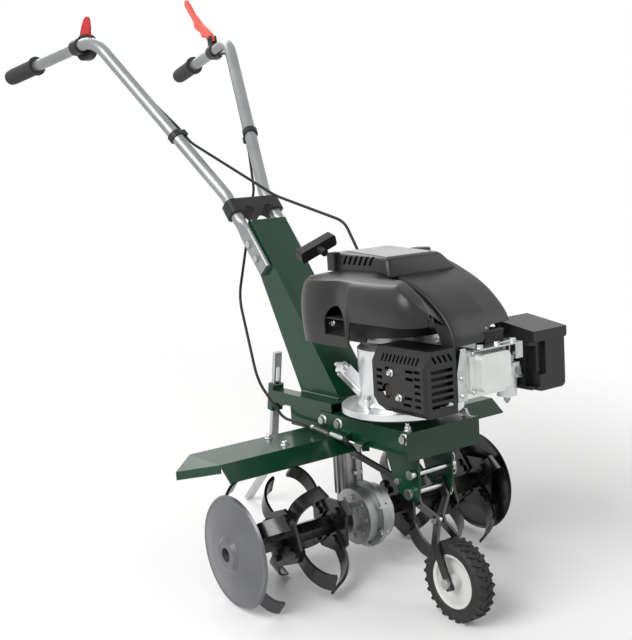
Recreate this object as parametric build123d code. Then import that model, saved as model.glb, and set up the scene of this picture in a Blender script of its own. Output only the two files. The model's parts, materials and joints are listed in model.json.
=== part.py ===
from build123d import *
import os
from math import acos, cos, degrees, hypot, radians, sin, tan

# Front tine tiller: a petrol engine on a green folded-steel chassis drives six tine stars through
# a V-belt and a worm gearbox; a folding wheel carries the nose and a drag bar follows behind.
# Lengths in mm. The chassis frame has its origin on the tine axle, X to the operator's left,
# Y to the rear and Z up from a level deck; the machine is pitched nose-up at the end.

# Stance and fits
standPitch = 6.0
seat = 0.05
running = 0.06
slide = 0.3
clear = 0.5
sheet = 3.0

# Tines and discs
tineRadius = 113.0
tineWidth = 27.0
tineThick = 5.0
tineBend = 52.0
tineCurl = 40.0
tineSweep = 260.0
starSide = 96.0
starThick = 6.0
hubRadius = 16.0
shaftRadius = 11.0
starX = (80.0, 185.0, 282.0)
starPhase = (-45.0, 25.0, -47.0)
starBend = (1, -1, -1)
innerTubeX = 52.0
tubeJointX = 132.0
clevisReach = (-16.0, 18.0)
discX = 300.0
discRadius = 99.0
discSheet = 2.5
discDish = 12.0
discHub = 40.0
socketDepth = 28.0
socketRadius = 12.5
socketLip = 4.0
bladeBolt = 4.0
bladeBoltAcross = 13.0
bladeBoltReach = (30.0, 45.0)
clevisRadius = 4.0

# Gearbox
wormY = 44.0
caseRadius = 52.0
caseHalf = 28.0
caseWall = 6.0
bossRadius = 27.0
bossHalf = 48.0
mastRadius = 23.0
mastBore = 15.0
mastRib = 4.0
mastFoot = 31.0
footPlate = (44.0, 34.0, 8.0)
lugZ = (120.0, 146.0)
mastRibTurns = (-130, -90, -50, 50, 90, 130)
flangeHalf = 5.0
flangeLip = 10.0
wormRadius = 9.5
wormShaft = 8.0
wormWheelRadius = 34.0
wormWheelTeeth = 24
caseBolt = 3.0

# Deck
deckWidth = 150.0
trayTop = 205.0
trayFront = -225.0
trayRear = 22.0
deckBottom = 165.0
boxFront = -12.0
boxRear = 116.0
boxTop = 222.0
boxEar = 50.0
boxHole = 9.0
boxHoleZ = 190.0
trayLip = 6.0
plateThick = 4.0
deckBolt = 5.0
deckBoltAcross = 13.0

# Mudguards
guardSheet = 2.0
guardInner = 52.0
guardOuter = 316.0
guardFront = -24.0
guardRear = 76.0
guardFlange = (30.0, 24.0)
guardEnd = (34.0, 22.0)
guardLip = 15.0
guardScrew = 3.0

# Handle column, cap and handlebars
columnWidth = 80.0
columnFoot = (2.0, 122.0)
columnFrontAngle = 52.0
columnRearAngle = 62.0
columnTop = 545.0
handleRadius = 12.5
handleWall = 2.0
handleFlat = 11.0
handleFlatWidth = 36.0
handleBend = (332.0, 593.0)
handleAngle = 49.5
handleLower = 190.0
handleFlatLength = 92.0
handleTaper = 34.0
handleCrest = (166.0, 618.0, 930.0)
handleEnd = (222.0, 953.0, 883.0)
handleLowBend = 60.0
handleCrestBend = 75.0
handleBolt = 4.0
gripLength = 116.0
gripRadius = 16.5
gripFlange = 21.0

# Front wheel and fork
wheelRadius = 70.0
wheelWidth = 36.0
rimRadius = 47.0
rimHub = 13.0
wheelY = -247.0
forkPivot = (-182.0, 86.0)
forkHalf = 31.0
forkNeck = 7.0
forkWheelHalf = 24.0
forkBar = 5.0
forkWidth = 16.0
bracketHalf = 39.0
bracketReach = (60.0, 22.0)
pinRadius = 5.0
strutHalf = 5.5
strutBolt = 3.0
treadDepth = 3.0
treadCount = 26
treadSlant = 28.0

# Drag bar
barWidth = 18.0
barThick = 10.0
barTop = (255.0, 277.0)
barLean = 11.0
barKnee = 235.0
barTipY = 405.0
barCurve = 130.0
socketZ = (157.0, 212.0)
socketWall = 5.0
barTravel = 60.0
dragPinRadius = 4.0

# Belt drive under the deck
crankY = -125.0
crankRadius = 12.0
beltZ = 182.0
beltWidth = 10.0
beltThick = 8.0
crankPulley = 24.0
drivenPulley = 44.0
idlerRadius = 10.0
idlerGap = 3.5
idlerY = -88.0
idlerPivotY = 6.0
idlerEye = 9.0
idlerStud = 4.0

# Engine
sumpRadius = 106.0
sumpFoot = 58.0
bossCount = 5
bossHeight = 16.0
sumpLow = 217.0
sumpHigh = 231.0
blockRadius = 74.0
blockTop = 338.0
cylinderX = 20.0
cylinderZ = 308.0
coverFront = -336.0
coverSize = (78.0, 72.0, 4.0)
flywheelRadius = 70.0
cowlWall = 3.0
cowlRear = 18.0
cowlFront = -302.0
cowlHalf = 127.0
cowlCorner = 60.0
cowlBottom = 342.0
cowlRim = 388.0
cowlShoulder = 459.0
cowlTop = 470.0
wingCurve = ((-205.0, 470.0), (-268.0, 438.0), (-302.0, 388.0))
domeCurve = ((-196.0, 468.0), (-276.0, 424.0), (-314.0, 352.0))
domeX = (-45.0, 100.0)
domeWall = 4.0
louvreX = -96.0
louvreDepth = 10.0
shroudRadius = 90.0
plateauX = (-62.0, 58.0, 90.0)
plateauY = (-32.0, -182.0)
plateauTop = (495.0, 488.0)
panelEdge = 12.0
panelSheet = 1.2
ropeX = -60.0
ropeGuide = (-50.0, 475.0)
ropeAngle = 20.0
ropeRadius = 2.0
ropeInside = 235.0
ropeOut = 62.0
handleBarLong = 76.0
handleBarDeep = 22.0
handleBarHigh = 20.0
fuelNeck = (101.0, -75.0)
fuelNeckRadius = 14.0
fuelCapRadius = 19.0
fuelCapLow = 473.0
fillerEnd = (-84.0, -72.0, 294.0)
fillerWay = (-0.62, 0.2, 0.76)
fillerWide = 24.0
fillerLong = 62.0
guardBox = (-115.0, -47.0, -315.0, -190.0, 247.0, 352.0)
guardShoulder = (24.0, 14.0)
outletRadius = 9.0
airX = (91.5, 164.0)
airY = (4.0, 84.0)
airZ = (-54.0, 37.0)

# Controls
cableRadius = 2.75
leverSet = 250.0
leverLift = 27.0
leverThick = 7.0
leverPinRadius = 3.0
throttleSet = 283.0
clampWidth = 24.0
throttleRadius = 30.0
throttleHalf = 8.0
throttleThick = 5.4
throttlePinRadius = 2.5
throttleAside = handleRadius + 9.0
clutchRoute = ((62.0, 395.0, 600.0), (-58.0, 292.0, 392.0), (-78.0, 214.0, 236.0))
clutchEnd = (120.0, 30.0)
clutchAside = 12.0
clutchBends = [50.0, 60.0, 70.0, 90.0, 160.0, 110.0, 60.0]
throttleRoute = ((-8.0, 214.0, 590.0), (56.0, 84.0, 536.0), (60.0, 24.0, 440.0))
throttleBends = [40.0, 60.0, 60.0, 120.0, 45.0]

parts = {}
fasteners = []


def box(x0, x1, y0, y1, z0, z1):
    return Pos((x0 + x1) / 2, (y0 + y1) / 2, (z0 + z1) / 2) * Box(abs(x1 - x0), abs(y1 - y0), abs(z1 - z0))


def rod(start, end, radius):
    way = Vector(*end) - Vector(*start)
    return extrude(Plane(origin=start, z_dir=way) * Circle(radius), way.length)


def pipe(start, end, outer, inner):
    return rod(start, end, outer) - rod(start, end, inner)


def sidePlate(points, x0, x1):
    face = make_face(Polyline(*points, close=True))
    return extrude(Plane.YZ.offset(min(x0, x1)) * face, abs(x1 - x0))


def lathe(points, plane):
    face = Plane.XZ * make_face(Polyline(*points, close=True))
    return plane.location * revolve(face, Axis.Z)


def crossPlane(x, y, z):
    return Plane(origin=(x, y, z), x_dir=(0, 1, 0), z_dir=(1, 0, 0))


def hexBar(start, way, across, height):
    face = RegularPolygon(across / 2, 6, major_radius=False)
    return extrude(Plane(origin=start, z_dir=way) * face, height)


def bolt(start, way, radius, across, length, nut=True):
    a, d = Vector(*start), Vector(*way).normalized()
    head = radius * 1.3
    whole = hexBar(tuple(a - d * head), tuple(d), across, head)
    whole += rod(tuple(a), tuple(a + d * length), radius)
    if nut:
        whole += hexBar(tuple(a + d * length), tuple(d), across, radius * 1.6)
    return whole


def onPlane(plane, x, y, z):
    return tuple(plane.from_local_coords((x, y, z)))


def group(shapes):
    return Compound(children=[s for shape in shapes for s in shape.solids()])


def mirrored(shape):
    return mirror(shape, about=Plane.YZ)


def turned(shape, angle):
    return shape.rotate(Axis.X, angle)


def spin(y, z, angle):
    a = radians(angle)
    return (y * cos(a) - z * sin(a), y * sin(a) + z * cos(a))


def along(points, bends, radius):
    path = FilletPolyline(*points, radius=bends) if len(points) > 2 else Line(*points)
    return sweep(Plane(origin=path @ 0, z_dir=path % 0) * Circle(radius), path=path)


def sides():
    return (("right", -1), ("left", 1))


# Tine blades: a flat bar leaves the star plate radially, curls sideways and sweeps back
def blade(side):
    bend = acos(1 - tineCurl / tineBend)
    reach = tineRadius - tineBend * sin(bend)
    root = hubRadius + 4.0
    inner = tineBend - tineThick
    face = make_face([
        Line((root, 0), (reach, 0)),
        CenterArc((reach, tineBend), tineBend, -90, degrees(bend)),
        Line((reach + tineBend * sin(bend), tineBend - tineBend * cos(bend)),
             (reach + inner * sin(bend), tineBend - inner * cos(bend))),
        CenterArc((reach, tineBend), inner, -90, degrees(bend)),
        Line((reach, tineThick), (root, tineThick)),
        Line((root, tineThick), (root, 0)),
    ])
    upright = Plane(origin=(0, 0, 0), x_dir=(0, 0, -1), z_dir=(0, -side, 0))
    bar = extrude(upright * face, tineRadius, both=True)
    ring = Pos(tineSweep - tineWidth / 2, 0) * (Circle(tineSweep) - Circle(tineSweep - tineWidth))
    lower = Pos(0, -tineRadius) * Rectangle(3 * tineRadius, 2 * tineRadius)
    return bar & extrude(Plane.YZ * (ring & lower), 2 * tineBend, both=True)


def bladeTurns(k):
    return [starPhase[k] + 90 * n for n in range(4)]


def bladeHoles(k, x):
    reach = starThick + 2 * tineThick
    spots = [spin(0, -r, turn) for turn in bladeTurns(k) for r in bladeBoltReach]
    return [rod((x - reach, y, z), (x + reach, y, z), bladeBolt + seat) for y, z in spots]


# Star plate: a square plate with cut corners, one blade bolted to each corner
def star(k, sign):
    x = sign * starX[k]
    plate = extrude(Plane.YZ.offset(x - starThick / 2) * Rectangle(starSide, starSide), starThick)
    plate = chamfer(plate.edges().filter_by(Axis.X), starSide / 5)
    plate = turned(plate, starPhase[k] + 45)
    for hole in bladeHoles(k, x):
        plate -= hole
    return plate


def starBlades(k, sign):
    x, side = sign * starX[k], sign * starBend[k]
    first = Pos(x + side * starThick / 2, 0, 0) * blade(side)
    made = []
    for turn in bladeTurns(k):
        piece = turned(first, turn)
        for hole in bladeHoles(k, x):
            piece -= hole
        made.append(piece)
    return made


def starBolts(k, sign):
    side = sign * starBend[k]
    start = sign * starX[k] + side * (starThick / 2 + tineThick)
    made = []
    for turn in bladeTurns(k):
        for reach in bladeBoltReach:
            head = (start, *spin(0, -reach, turn))
            made.append(bolt(head, (-side, 0, 0), bladeBolt, bladeBoltAcross, starThick + tineThick))
    return made


clevisX = [tubeJointX + reach for reach in clevisReach]
clevisTurn = 45.0


def clevisHoles(sign):
    long = 2 * hubRadius
    holes = [rod((sign * x, 0, -long), (sign * x, 0, long), clevisRadius + seat) for x in clevisX]
    return [turned(hole, clevisTurn) for hole in holes]


# Hub tube: six-sided outside so the clevis pins sit on flats, round bore for the shaft
def tineHub(x0, x1, k, sign):
    plane = Plane(origin=(sign * x0, 0, 0), x_dir=(0, -1, 1), z_dir=(sign, 0, 0))
    outside = RegularPolygon(hubRadius, 6, major_radius=False, rotation=30)
    hub = extrude(plane * outside, x1 - x0) + star(k, sign)
    hub -= rod((sign * (x0 - 1), 0, 0), (sign * (x1 + 1), 0, 0), shaftRadius + seat)
    for hole in clevisHoles(sign):
        hub -= hole
    return hub


# Edge star: its plate is welded round the hub of the side disc
def edgeStar(sign):
    x = sign * starX[2]
    return star(2, sign) - rod((x - starThick, 0, 0), (x + starThick, 0, 0), hubRadius + seat)


def guardDisc(sign):
    bore = shaftRadius + seat
    face = [(socketRadius, socketLip), (24, socketLip), (32, -2), (discRadius * 0.62, -discDish * 0.5),
            (discRadius - 9, -discDish), (discRadius - 3, -discDish), (discRadius, -discDish - 4)]
    back = [(discRadius - discSheet, -discDish - 5), (discRadius - 4, -discDish - discSheet),
            (discRadius - 9.5, -discDish - discSheet), (discRadius * 0.62, -discDish * 0.5 - discSheet),
            (32, -2 - discSheet), (hubRadius, -2 - discSheet), (hubRadius, -discHub), (bore, -discHub),
            (bore, -socketDepth), (socketRadius, -socketDepth)]
    disc = lathe(face + back, Plane(origin=(discX, 0, 0), x_dir=(0, 1, 0), z_dir=(1, 0, 0)))
    return disc if sign > 0 else mirrored(disc)


def clevisPins():
    made = []
    for sign in (-1, 1):
        for x in (sign * spot for spot in clevisX):
            top = hubRadius + clear
            pin = rod((x, 0, -hubRadius - 13), (x, 0, top), clevisRadius)
            pin += rod((x, 0, top), (x, 0, top + 3), clevisRadius + 3)
            clip = pipe((x - 1, 0, -hubRadius - 9), (x + 1, 0, -hubRadius - 9), clevisRadius + 3, 1.5)
            made.append(turned(pin + clip, clevisTurn))
    return made


def wormWheel():
    wheel = rod((-12, 0, 0), (12, 0, 0), wormWheelRadius)
    depth = wormWheelRadius * 0.12
    notch = rod((-13, 0, wormWheelRadius), (13, 0, wormWheelRadius), depth)
    for k in range(wormWheelTeeth):
        wheel -= turned(notch, 360 / wormWheelTeeth * k)
    return wheel - rod((-13, 0, 0), (13, 0, 0), shaftRadius + seat)


def makeRotor():
    shaftEnd = discX - socketDepth
    shaft = rod((-shaftEnd, 0, 0), (shaftEnd, 0, 0), shaftRadius)
    bolts = []
    for name, sign in sides():
        for hole in clevisHoles(sign):
            shaft -= hole
        inner = tineHub(innerTubeX, tubeJointX - clear, 0, sign)
        outer = tineHub(tubeJointX + clear, discX - discHub - clear, 1, sign)
        parts[f"tine_hubs_{name}"] = group([inner, outer, edgeStar(sign)])
        parts[f"tine_blades_{name}"] = group([b for k in range(3) for b in starBlades(k, sign)])
        parts[f"plant_disc_{name}"] = guardDisc(sign)
        bolts += [b for k in range(3) for b in starBolts(k, sign)]
    parts["tine_shaft"] = shaft
    parts["tine_bolts"] = group(bolts + clevisPins())
    parts["worm_wheel"] = wormWheel()


# Gearbox: two castings bolted together on the machine's centre plane
def caseOutline(lip):
    drum = Circle(caseRadius + lip)
    low, high = -caseRadius * 0.75 - lip, deckBottom
    return drum + Pos(wormY, (low + high) / 2) * Rectangle(2 * (mastRadius + lip), high - low)


caseBoltLip = 5.6
caseBoltSpots = [spin(0, caseRadius + caseBoltLip, a) for a in (65, 115, 165, 215)]
caseBoltSpots += [(wormY - mastRadius - caseBoltLip, z) for z in (76.0, 108.0)]
caseBoltSpots += [(wormY + mastRadius + caseBoltLip, z) for z in (-20.0, 92.0, 138.0)]


def gearbox():
    case = rod((-caseHalf, 0, 0), (caseHalf, 0, 0), caseRadius)
    case += rod((-bossHalf, 0, 0), (bossHalf, 0, 0), bossRadius)
    case += rod((0, wormY, -caseRadius * 0.75), (0, wormY, deckBottom), mastRadius)
    for turn in mastRibTurns:
        rib = box(-mastRib / 2, mastRib / 2, mastBore + 2, mastRadius + mastRib, mastFoot, deckBottom - 4)
        case += Pos(0, wormY, 0) * Rot(0, 0, turn) * rib
    case += extrude(Plane.YZ.offset(-flangeHalf) * caseOutline(flangeLip), 2 * flangeHalf)
    wide, deep, thick = footPlate
    case += box(-wide, wide, wormY - deep, wormY + deep, deckBottom - thick, deckBottom)
    for a in range(0, 360, 45):
        y, z = spin(0, caseRadius - 6, a)
        case += rod((-caseHalf - 3, y * 0.8, z * 0.8), (caseHalf + 3, y * 0.8, z * 0.8), 5)
    case -= rod((-caseHalf + caseWall, 0, 0), (caseHalf - caseWall, 0, 0), caseRadius - caseWall)
    case -= rod((0, wormY, -caseRadius * 0.6), (0, wormY, deckBottom + 1), mastBore)
    case -= rod((-bossHalf - 1, 0, 0), (bossHalf + 1, 0, 0), shaftRadius + running)
    for y, z in caseBoltSpots:
        case -= rod((-20, y, z), (20, y, z), caseBolt + seat)
    lugFace = wormY - mastRadius
    lug = box(-bracketHalf + 2 * sheet + forkBar, -flangeHalf, lugFace - 20, lugFace + 8, *lugZ)
    lug -= rod((0, wormY, 0), (0, wormY, deckBottom), mastRadius - 2)
    big = 4 * deckBottom
    right = (case & box(-big, 0, -big, big, -big, big)) + lug
    for y, z in caseBoltSpots:
        right -= rod((-40, y, z), (20, y, z), caseBolt + seat)
    return right, case & box(0, big, -big, big, -big, big)


def wormWithShaft():
    shaft = rod((0, wormY, -28), (0, wormY, beltZ + 14), wormShaft)
    worm = rod((0, wormY, -18), (0, wormY, 18), wormRadius)
    for k in range(5):
        z = -14 + 7 * k
        worm -= pipe((0, wormY, z - 1.5), (0, wormY, z + 1.5), wormRadius + 1, wormRadius - 1)
    return shaft + worm


def wormBearings():
    spots = ((-28.0, -20.0), (20.5, 30.0), (deckBottom - 14, deckBottom))
    return group([pipe((0, wormY, a), (0, wormY, b), mastBore, wormShaft + running) for a, b in spots])


def makeGearbox():
    right, left = gearbox()
    parts["gearbox_right"] = right
    parts["gearbox_left"] = left
    bolts = [bolt((-flangeHalf, y, z), (1, 0, 0), caseBolt, 9.0, 2 * flangeHalf) for y, z in caseBoltSpots]
    fasteners.extend(bolts)
    parts["worm_shaft"] = wormWithShaft()
    parts["worm_bearings"] = wormBearings()


# Deck: engine tray in front, taller box behind it that carries the handle column and the gearbox
half = deckWidth / 2
deckBoltSpots = ((-213.0, 192.0), (10.0, 190.0), (-36.0, 190.0))


def tray():
    body = box(-half, half, trayFront, boxFront - clear, deckBottom, trayTop)
    body += box(-half, -half + sheet, boxFront - 1, trayRear, deckBottom, trayTop)
    body += box(half - sheet, half, boxFront - 1, trayRear, deckBottom, trayTop)
    inner = half - sheet
    body -= box(-inner, inner, trayFront + sheet, trayRear + 1, deckBottom - 1, trayTop - sheet)
    lip = box(-half - trayLip, half + trayLip, trayFront, trayRear, deckBottom, deckBottom + sheet)
    body += lip - box(-inner, inner, trayFront - 1, trayRear + 1, deckBottom - 1, trayTop)
    apron = box(-half - trayLip, half + trayLip, trayFront - sheet, trayFront, deckBottom - 8, trayTop)
    body += fillet(apron.edges().filter_by(Axis.Y), 2)
    body -= rod((0, crankY, deckBottom), (0, crankY, trayTop + 1), crankRadius + 20)
    return body - deckHoles()


def rearBox():
    inner = half - sheet
    outline = [(boxFront - boxEar, deckBottom), (boxRear, deckBottom), (boxRear, boxTop), (boxFront, boxTop),
               (boxFront, trayTop - sheet), (boxFront - boxEar, trayTop - sheet)]
    body = sidePlate(outline, -inner, inner)
    inside, front = inner - sheet, boxFront - boxEar - 1
    body -= box(-inside, inside, front, boxRear - sheet, deckBottom - 1, boxTop - sheet)
    body -= rod((0, boxRear - sheet - 1, boxHoleZ), (0, boxRear + 1, boxHoleZ), boxHole)
    return body - deckHoles()


def gearPlate():
    inner = half - 2 * sheet
    plate = box(-inner, inner, boxFront, boxRear - sheet, deckBottom, deckBottom + plateThick)
    return plate - rod((0, wormY, deckBottom - 1), (0, wormY, trayTop), wormShaft + 6)


def deckHoles():
    holes = [rod((-half - 10, y, z), (-half + 20, y, z), deckBolt + seat) for y, z in deckBoltSpots]
    return Compound(children=holes + [mirrored(hole) for hole in holes])


def deckBolts():
    made = []
    for y, z in deckBoltSpots:
        length = 2 * sheet if y > boxFront - boxEar else sheet
        made.append(bolt((-half, y, z), (1, 0, 0), deckBolt, deckBoltAcross, length))
    return group(made + [mirrored(b) for b in made])


def cornerPlate(points, way, thick):
    return extrude(make_face(Polyline(*points, close=True)), thick, dir=way)


def mudguard(sign):
    top = deckBottom
    drop, run = guardFlange[1], guardFlange[0]
    profile = [(guardRear, top), (guardFront, top), (guardFront - run, top - drop),
               (guardFront - run + 1, top - drop - guardSheet), (guardFront + 0.7, top - guardSheet),
               (guardRear, top - guardSheet)]
    body = sidePlate(profile, guardInner, guardOuter)
    reach, fall = guardEnd
    front, rear = (guardOuter, guardFront, top), (guardOuter, guardRear, top)
    corner = (guardOuter + reach, guardRear - 9, top - fall)
    body += cornerPlate([front, rear, corner], (0, 0, -1), guardSheet)
    below = [(x, y, z - guardLip) for x, y, z in (corner, front)]
    body += cornerPlate([front, corner, below[0], below[1]], (-1, 0, 0), guardSheet)
    for x, y in guardScrews:
        body -= rod((x, y, top - 9), (x, y, top + 9), guardScrew + seat)
    return body if sign > 0 else mirrored(body)


guardScrews = ((60.0, 20.0), (60.0, 62.0), (60.0, -4.0))


def mudguardScrews():
    made = []
    for sign in (-1, 1):
        for x, y in guardScrews:
            head = (sign * x, y, deckBottom - guardSheet)
            made.append(bolt(head, (0, 0, 1), guardScrew, 10.0, guardSheet, nut=False))
    return group(made)


def makeDeck():
    parts["engine_tray"] = tray()
    parts["rear_box"] = rearBox() + gearPlate()
    fasteners.append(deckBolts())
    for name, sign in sides():
        parts[f"mudguard_{name}"] = mudguard(sign)
    fasteners.append(mudguardScrews())


# Handle column and handlebars
lean = radians(handleAngle)
handleWay = (cos(lean), sin(lean))
handleX = columnWidth / 2 + handleFlat / 2


def lowPoint(s, off=0.0):
    y = handleBend[0] - handleWay[0] * (handleLower - s) - handleWay[1] * off
    z = handleBend[1] - handleWay[1] * (handleLower - s) + handleWay[0] * off
    return (handleX, y, z)


handleBoltSpots = [lowPoint(s)[1:] for s in (30.0, 66.0)]


def column():
    rise = columnTop - boxTop
    front = columnFoot[0] + rise / tan(radians(columnFrontAngle))
    backZ = columnTop - 26
    back = columnFoot[1] + (backZ - boxTop) / tan(radians(columnRearAngle))
    w = columnWidth / 2
    outline = [(columnFoot[0], boxTop), (columnFoot[1], boxTop), (back, backZ), (front, columnTop)]
    body = sidePlate(outline, -w, w)
    step = sheet / sin(radians(columnFrontAngle))
    far = 4 * rise
    cut = [(columnFoot[0] + step - far / tan(radians(columnFrontAngle)), boxTop - far),
           (columnFoot[0] + step + far / tan(radians(columnFrontAngle)), boxTop + far), (far, boxTop - far)]
    body -= sidePlate(cut, -w + sheet, w - sheet)
    for y, z in handleBoltSpots:
        body -= rod((-2 * w, y, z), (2 * w, y, z), handleBolt + seat)
    return body


def handleTube(sign):
    bend = (handleX, *handleBend)
    start = lowPoint(handleFlatLength + handleTaper)
    points = [start, bend, handleCrest, handleEnd]
    bends = [handleLowBend, handleCrestBend]
    tube = along(points, bends, handleRadius) - along(points, bends, handleRadius - handleWall)
    way = (0, *handleWay)
    flatPlane = Plane(origin=lowPoint(0), x_dir=(1, 0, 0), z_dir=way)
    pressed = RectangleRounded(handleFlat, handleFlatWidth, handleFlat * 0.45)
    flat = extrude(flatPlane * pressed, handleFlatLength)
    roundPlane = Plane(origin=start, x_dir=(1, 0, 0), z_dir=way)
    taper = loft([flatPlane.offset(handleFlatLength) * pressed, roundPlane * Circle(handleRadius)])
    tube = tube + flat + taper
    for y, z in handleBoltSpots:
        tube -= rod((0, y, z), (4 * handleX, y, z), handleBolt + seat)
    return tube if sign > 0 else mirrored(tube)


def handleBolts():
    w = columnWidth / 2 + handleFlat
    long = handleFlat + sheet
    made = [bolt((w, y, z), (-1, 0, 0), handleBolt, deckBoltAcross, long) for y, z in handleBoltSpots]
    return group(made + [mirrored(b) for b in made])


def handleSpot(sign, back):
    end, crest = Vector(*handleEnd), Vector(*handleCrest)
    way = (end - crest).normalized()
    plane = Plane(origin=tuple(end - way * back), x_dir=tuple(way),
                  z_dir=tuple(Vector(1, 0, 0) - way * way.dot(Vector(1, 0, 0))))
    if sign > 0:
        return plane
    return Plane(origin=(-plane.origin.X, plane.origin.Y, plane.origin.Z),
                 x_dir=(-plane.x_dir.X, plane.x_dir.Y, plane.x_dir.Z),
                 z_dir=(plane.z_dir.X, -plane.z_dir.Y, -plane.z_dir.Z))


def grip(sign):
    bore = handleRadius + seat
    points = [(bore, 0), (gripFlange, 0), (gripFlange, 5), (gripRadius, 7)]
    ribs = 9
    pitch = (gripLength - 26) / ribs
    for k in range(ribs):
        z = 12 + k * pitch
        points += [(gripRadius, z), (gripRadius + 1.2, z + 1.2), (gripRadius + 1.2, z + pitch - 3.2),
                   (gripRadius, z + pitch - 2)]
    top = gripLength + 3
    points += [(gripRadius + 1, top - 12), (gripRadius, top - 4), (gripRadius - 5, top), (0, top),
               (0, gripLength), (bore, gripLength)]
    plane = handleSpot(sign, gripLength)
    turnedPlane = Plane(origin=plane.origin, x_dir=plane.y_dir, z_dir=plane.x_dir)
    return lathe(points, turnedPlane)


def columnCap():
    middle = lowPoint(handleLower - 52)
    plane = Plane(origin=(0, middle[1], middle[2]), x_dir=(1, 0, 0), z_dir=(0, *handleWay))
    wide = 2 * (handleX + handleRadius + 4)
    block = extrude(plane * RectangleRounded(wide, 2 * handleRadius + 12, handleRadius), 30)
    for sign in (-1, 1):
        x = sign * handleX
        block -= rod(onPlane(plane, x / 2, -wide, -4), onPlane(plane, x / 2, wide, -4), handleRadius)
        block -= rod(onPlane(plane, x, 0, -wide), onPlane(plane, x, 0, wide), handleRadius + seat)
    return block


def clipPoint():
    crest, bend = Vector(*handleCrest), Vector(handleX, *handleBend)
    return bend + (crest - bend) * 0.37, (crest - bend).normalized()


def clipEar(sign):
    # the left cable runs behind its tube, the right one on the inner side of its tube
    spot, way = clipPoint()
    if sign > 0:
        off = way.cross(Vector(1, 0, 0)).normalized()
        return spot + off * (handleRadius + 9), way
    spot, way = Vector(-spot.X, spot.Y, spot.Z), Vector(-way.X, way.Y, way.Z)
    off = (Vector(1, 0, 0) - way * way.X).normalized()
    return spot + off * (handleRadius + 9), way


def cableClip(sign):
    ear, way = clipEar(sign)
    spot, rest = clipPoint()
    spot = Vector(sign * spot.X, spot.Y, spot.Z)
    off = (ear - spot).normalized()
    plane = Plane(origin=tuple(spot - way * 6), x_dir=tuple(off), z_dir=tuple(way))
    ring = extrude(plane * Circle(handleRadius + 3.5), 12)
    ring += extrude(plane * Pos(handleRadius + 8, 0) * RectangleRounded(15, 14, 4), 12)
    ring -= extrude(plane * Circle(handleRadius + seat), 12)
    return ring - extrude(plane * Pos(handleRadius + 9, 0) * Circle(cableRadius + seat), 12)


def makeHandles():
    parts["handle_column"] = column()
    parts["column_cap"] = columnCap()
    parts["cable_clips"] = group([cableClip(sign) for sign in (-1, 1)])
    fasteners.append(handleBolts())
    for name, sign in sides():
        parts[f"handle_tube_{name}"] = handleTube(sign)
        parts[f"grip_{name}"] = grip(sign)


# Front wheel on its folding fork; the wheel's height follows from where the tines touch the ground
def groundLine(y, height, floor):
    return (height + floor + y * sin(radians(standPitch))) / cos(radians(standPitch))


def forkFrame(wheelZ):
    dy, dz = wheelY - forkPivot[0], wheelZ - forkPivot[1]
    return Plane(origin=(0, *forkPivot), x_dir=(1, 0, 0), z_dir=(0, dy, dz)), hypot(dy, dz)


def forkBarShape(plane, length, sign):
    line = Polyline((forkHalf, -11), (forkHalf, 22), (forkNeck, 50), (forkNeck, 62), (forkWheelHalf, 92),
                    (forkWheelHalf, length + 11))
    face = offset(line, forkBar / 2, side=Side.BOTH)
    face = make_face(face) if not isinstance(face, Face) else face
    across = Vector(sign, 0, 0)
    flat = Plane(origin=plane.origin, x_dir=tuple(across), z_dir=tuple(across.cross(plane.z_dir)))
    bar = extrude(flat * face, forkWidth / 2, both=True)
    pivot = rod((-100, *forkPivot), (100, *forkPivot), pinRadius + running)
    axle = plane.from_local_coords((0, 0, length))
    bar -= rod((-100, axle.Y, axle.Z), (100, axle.Y, axle.Z), pinRadius + seat)
    middle = plane.from_local_coords((0, 0, 56))
    bar -= rod((-100, middle.Y, middle.Z), (100, middle.Y, middle.Z), 3 + seat)
    return bar - pivot


def tyre(y, z):
    h = wheelWidth / 2
    crown = wheelRadius - treadDepth
    side = [(rimRadius, h - 3), (rimRadius + 3, h), (crown - 6, h), (crown, h - 4)]
    body = lathe(side + [(r, -w) for r, w in reversed(side)], crossPlane(0, y, z))
    lugs = []
    for k in range(treadCount):
        for sign in (-1, 1):
            lug = Box(h * 0.86, 2 * treadDepth, 2 * treadDepth)
            lug = Pos(sign * h * 0.48, 0, crown) * Rot(0, 0, sign * treadSlant) * lug
            lugs.append(Pos(0, y, z) * Rot(360 / treadCount * (k + 0.25 * sign), 0, 0) * lug)
    return body.fuse(*lugs)


def rim(y, z):
    h = wheelWidth / 2
    bore = pinRadius + 3 + running
    side = [(bore, h + 1), (rimHub, h + 1), (rimHub, 5), (rimRadius - 9, 3), (rimRadius - 6, h - 4),
            (rimRadius - 1, h - 2), (rimRadius - seat, h - 3)]
    return lathe(side + [(r, -w) for r, w in reversed(side)], crossPlane(0, y, z))


def wheelBracket():
    y, z = forkPivot
    rear, front, top = y + bracketReach[0], y - bracketReach[1], trayTop - sheet
    nose = [(y + 42, z + 6), (y + 16, z - 16), (y - 14, z - 14), (front, z + 10)]
    outline = [(rear, top), (rear, z + 54), *nose, (front, top)]
    plate = fillet(sidePlate(outline, bracketHalf - sheet, bracketHalf).edges().filter_by(Axis.X), 6)
    body = plate + mirrored(plate)
    body += box(-bracketHalf, bracketHalf, front, crankY - drivenPulley * 0.9, top - sheet, top)
    for spot, radius in ((forkPivot, pinRadius), (lockSpot, pinRadius), (strutFront, strutBolt)):
        body -= rod((-2 * bracketHalf, *spot), (2 * bracketHalf, *spot), radius + running)
    return body


lockSpot = (forkPivot[0] - 10.0, forkPivot[1] + 35.0)
strutFront = (forkPivot[0] + 33.0, forkPivot[1] + 14.0)
strutRear = (wormY - mastRadius - 6.0, sum(lugZ) / 2)


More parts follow.
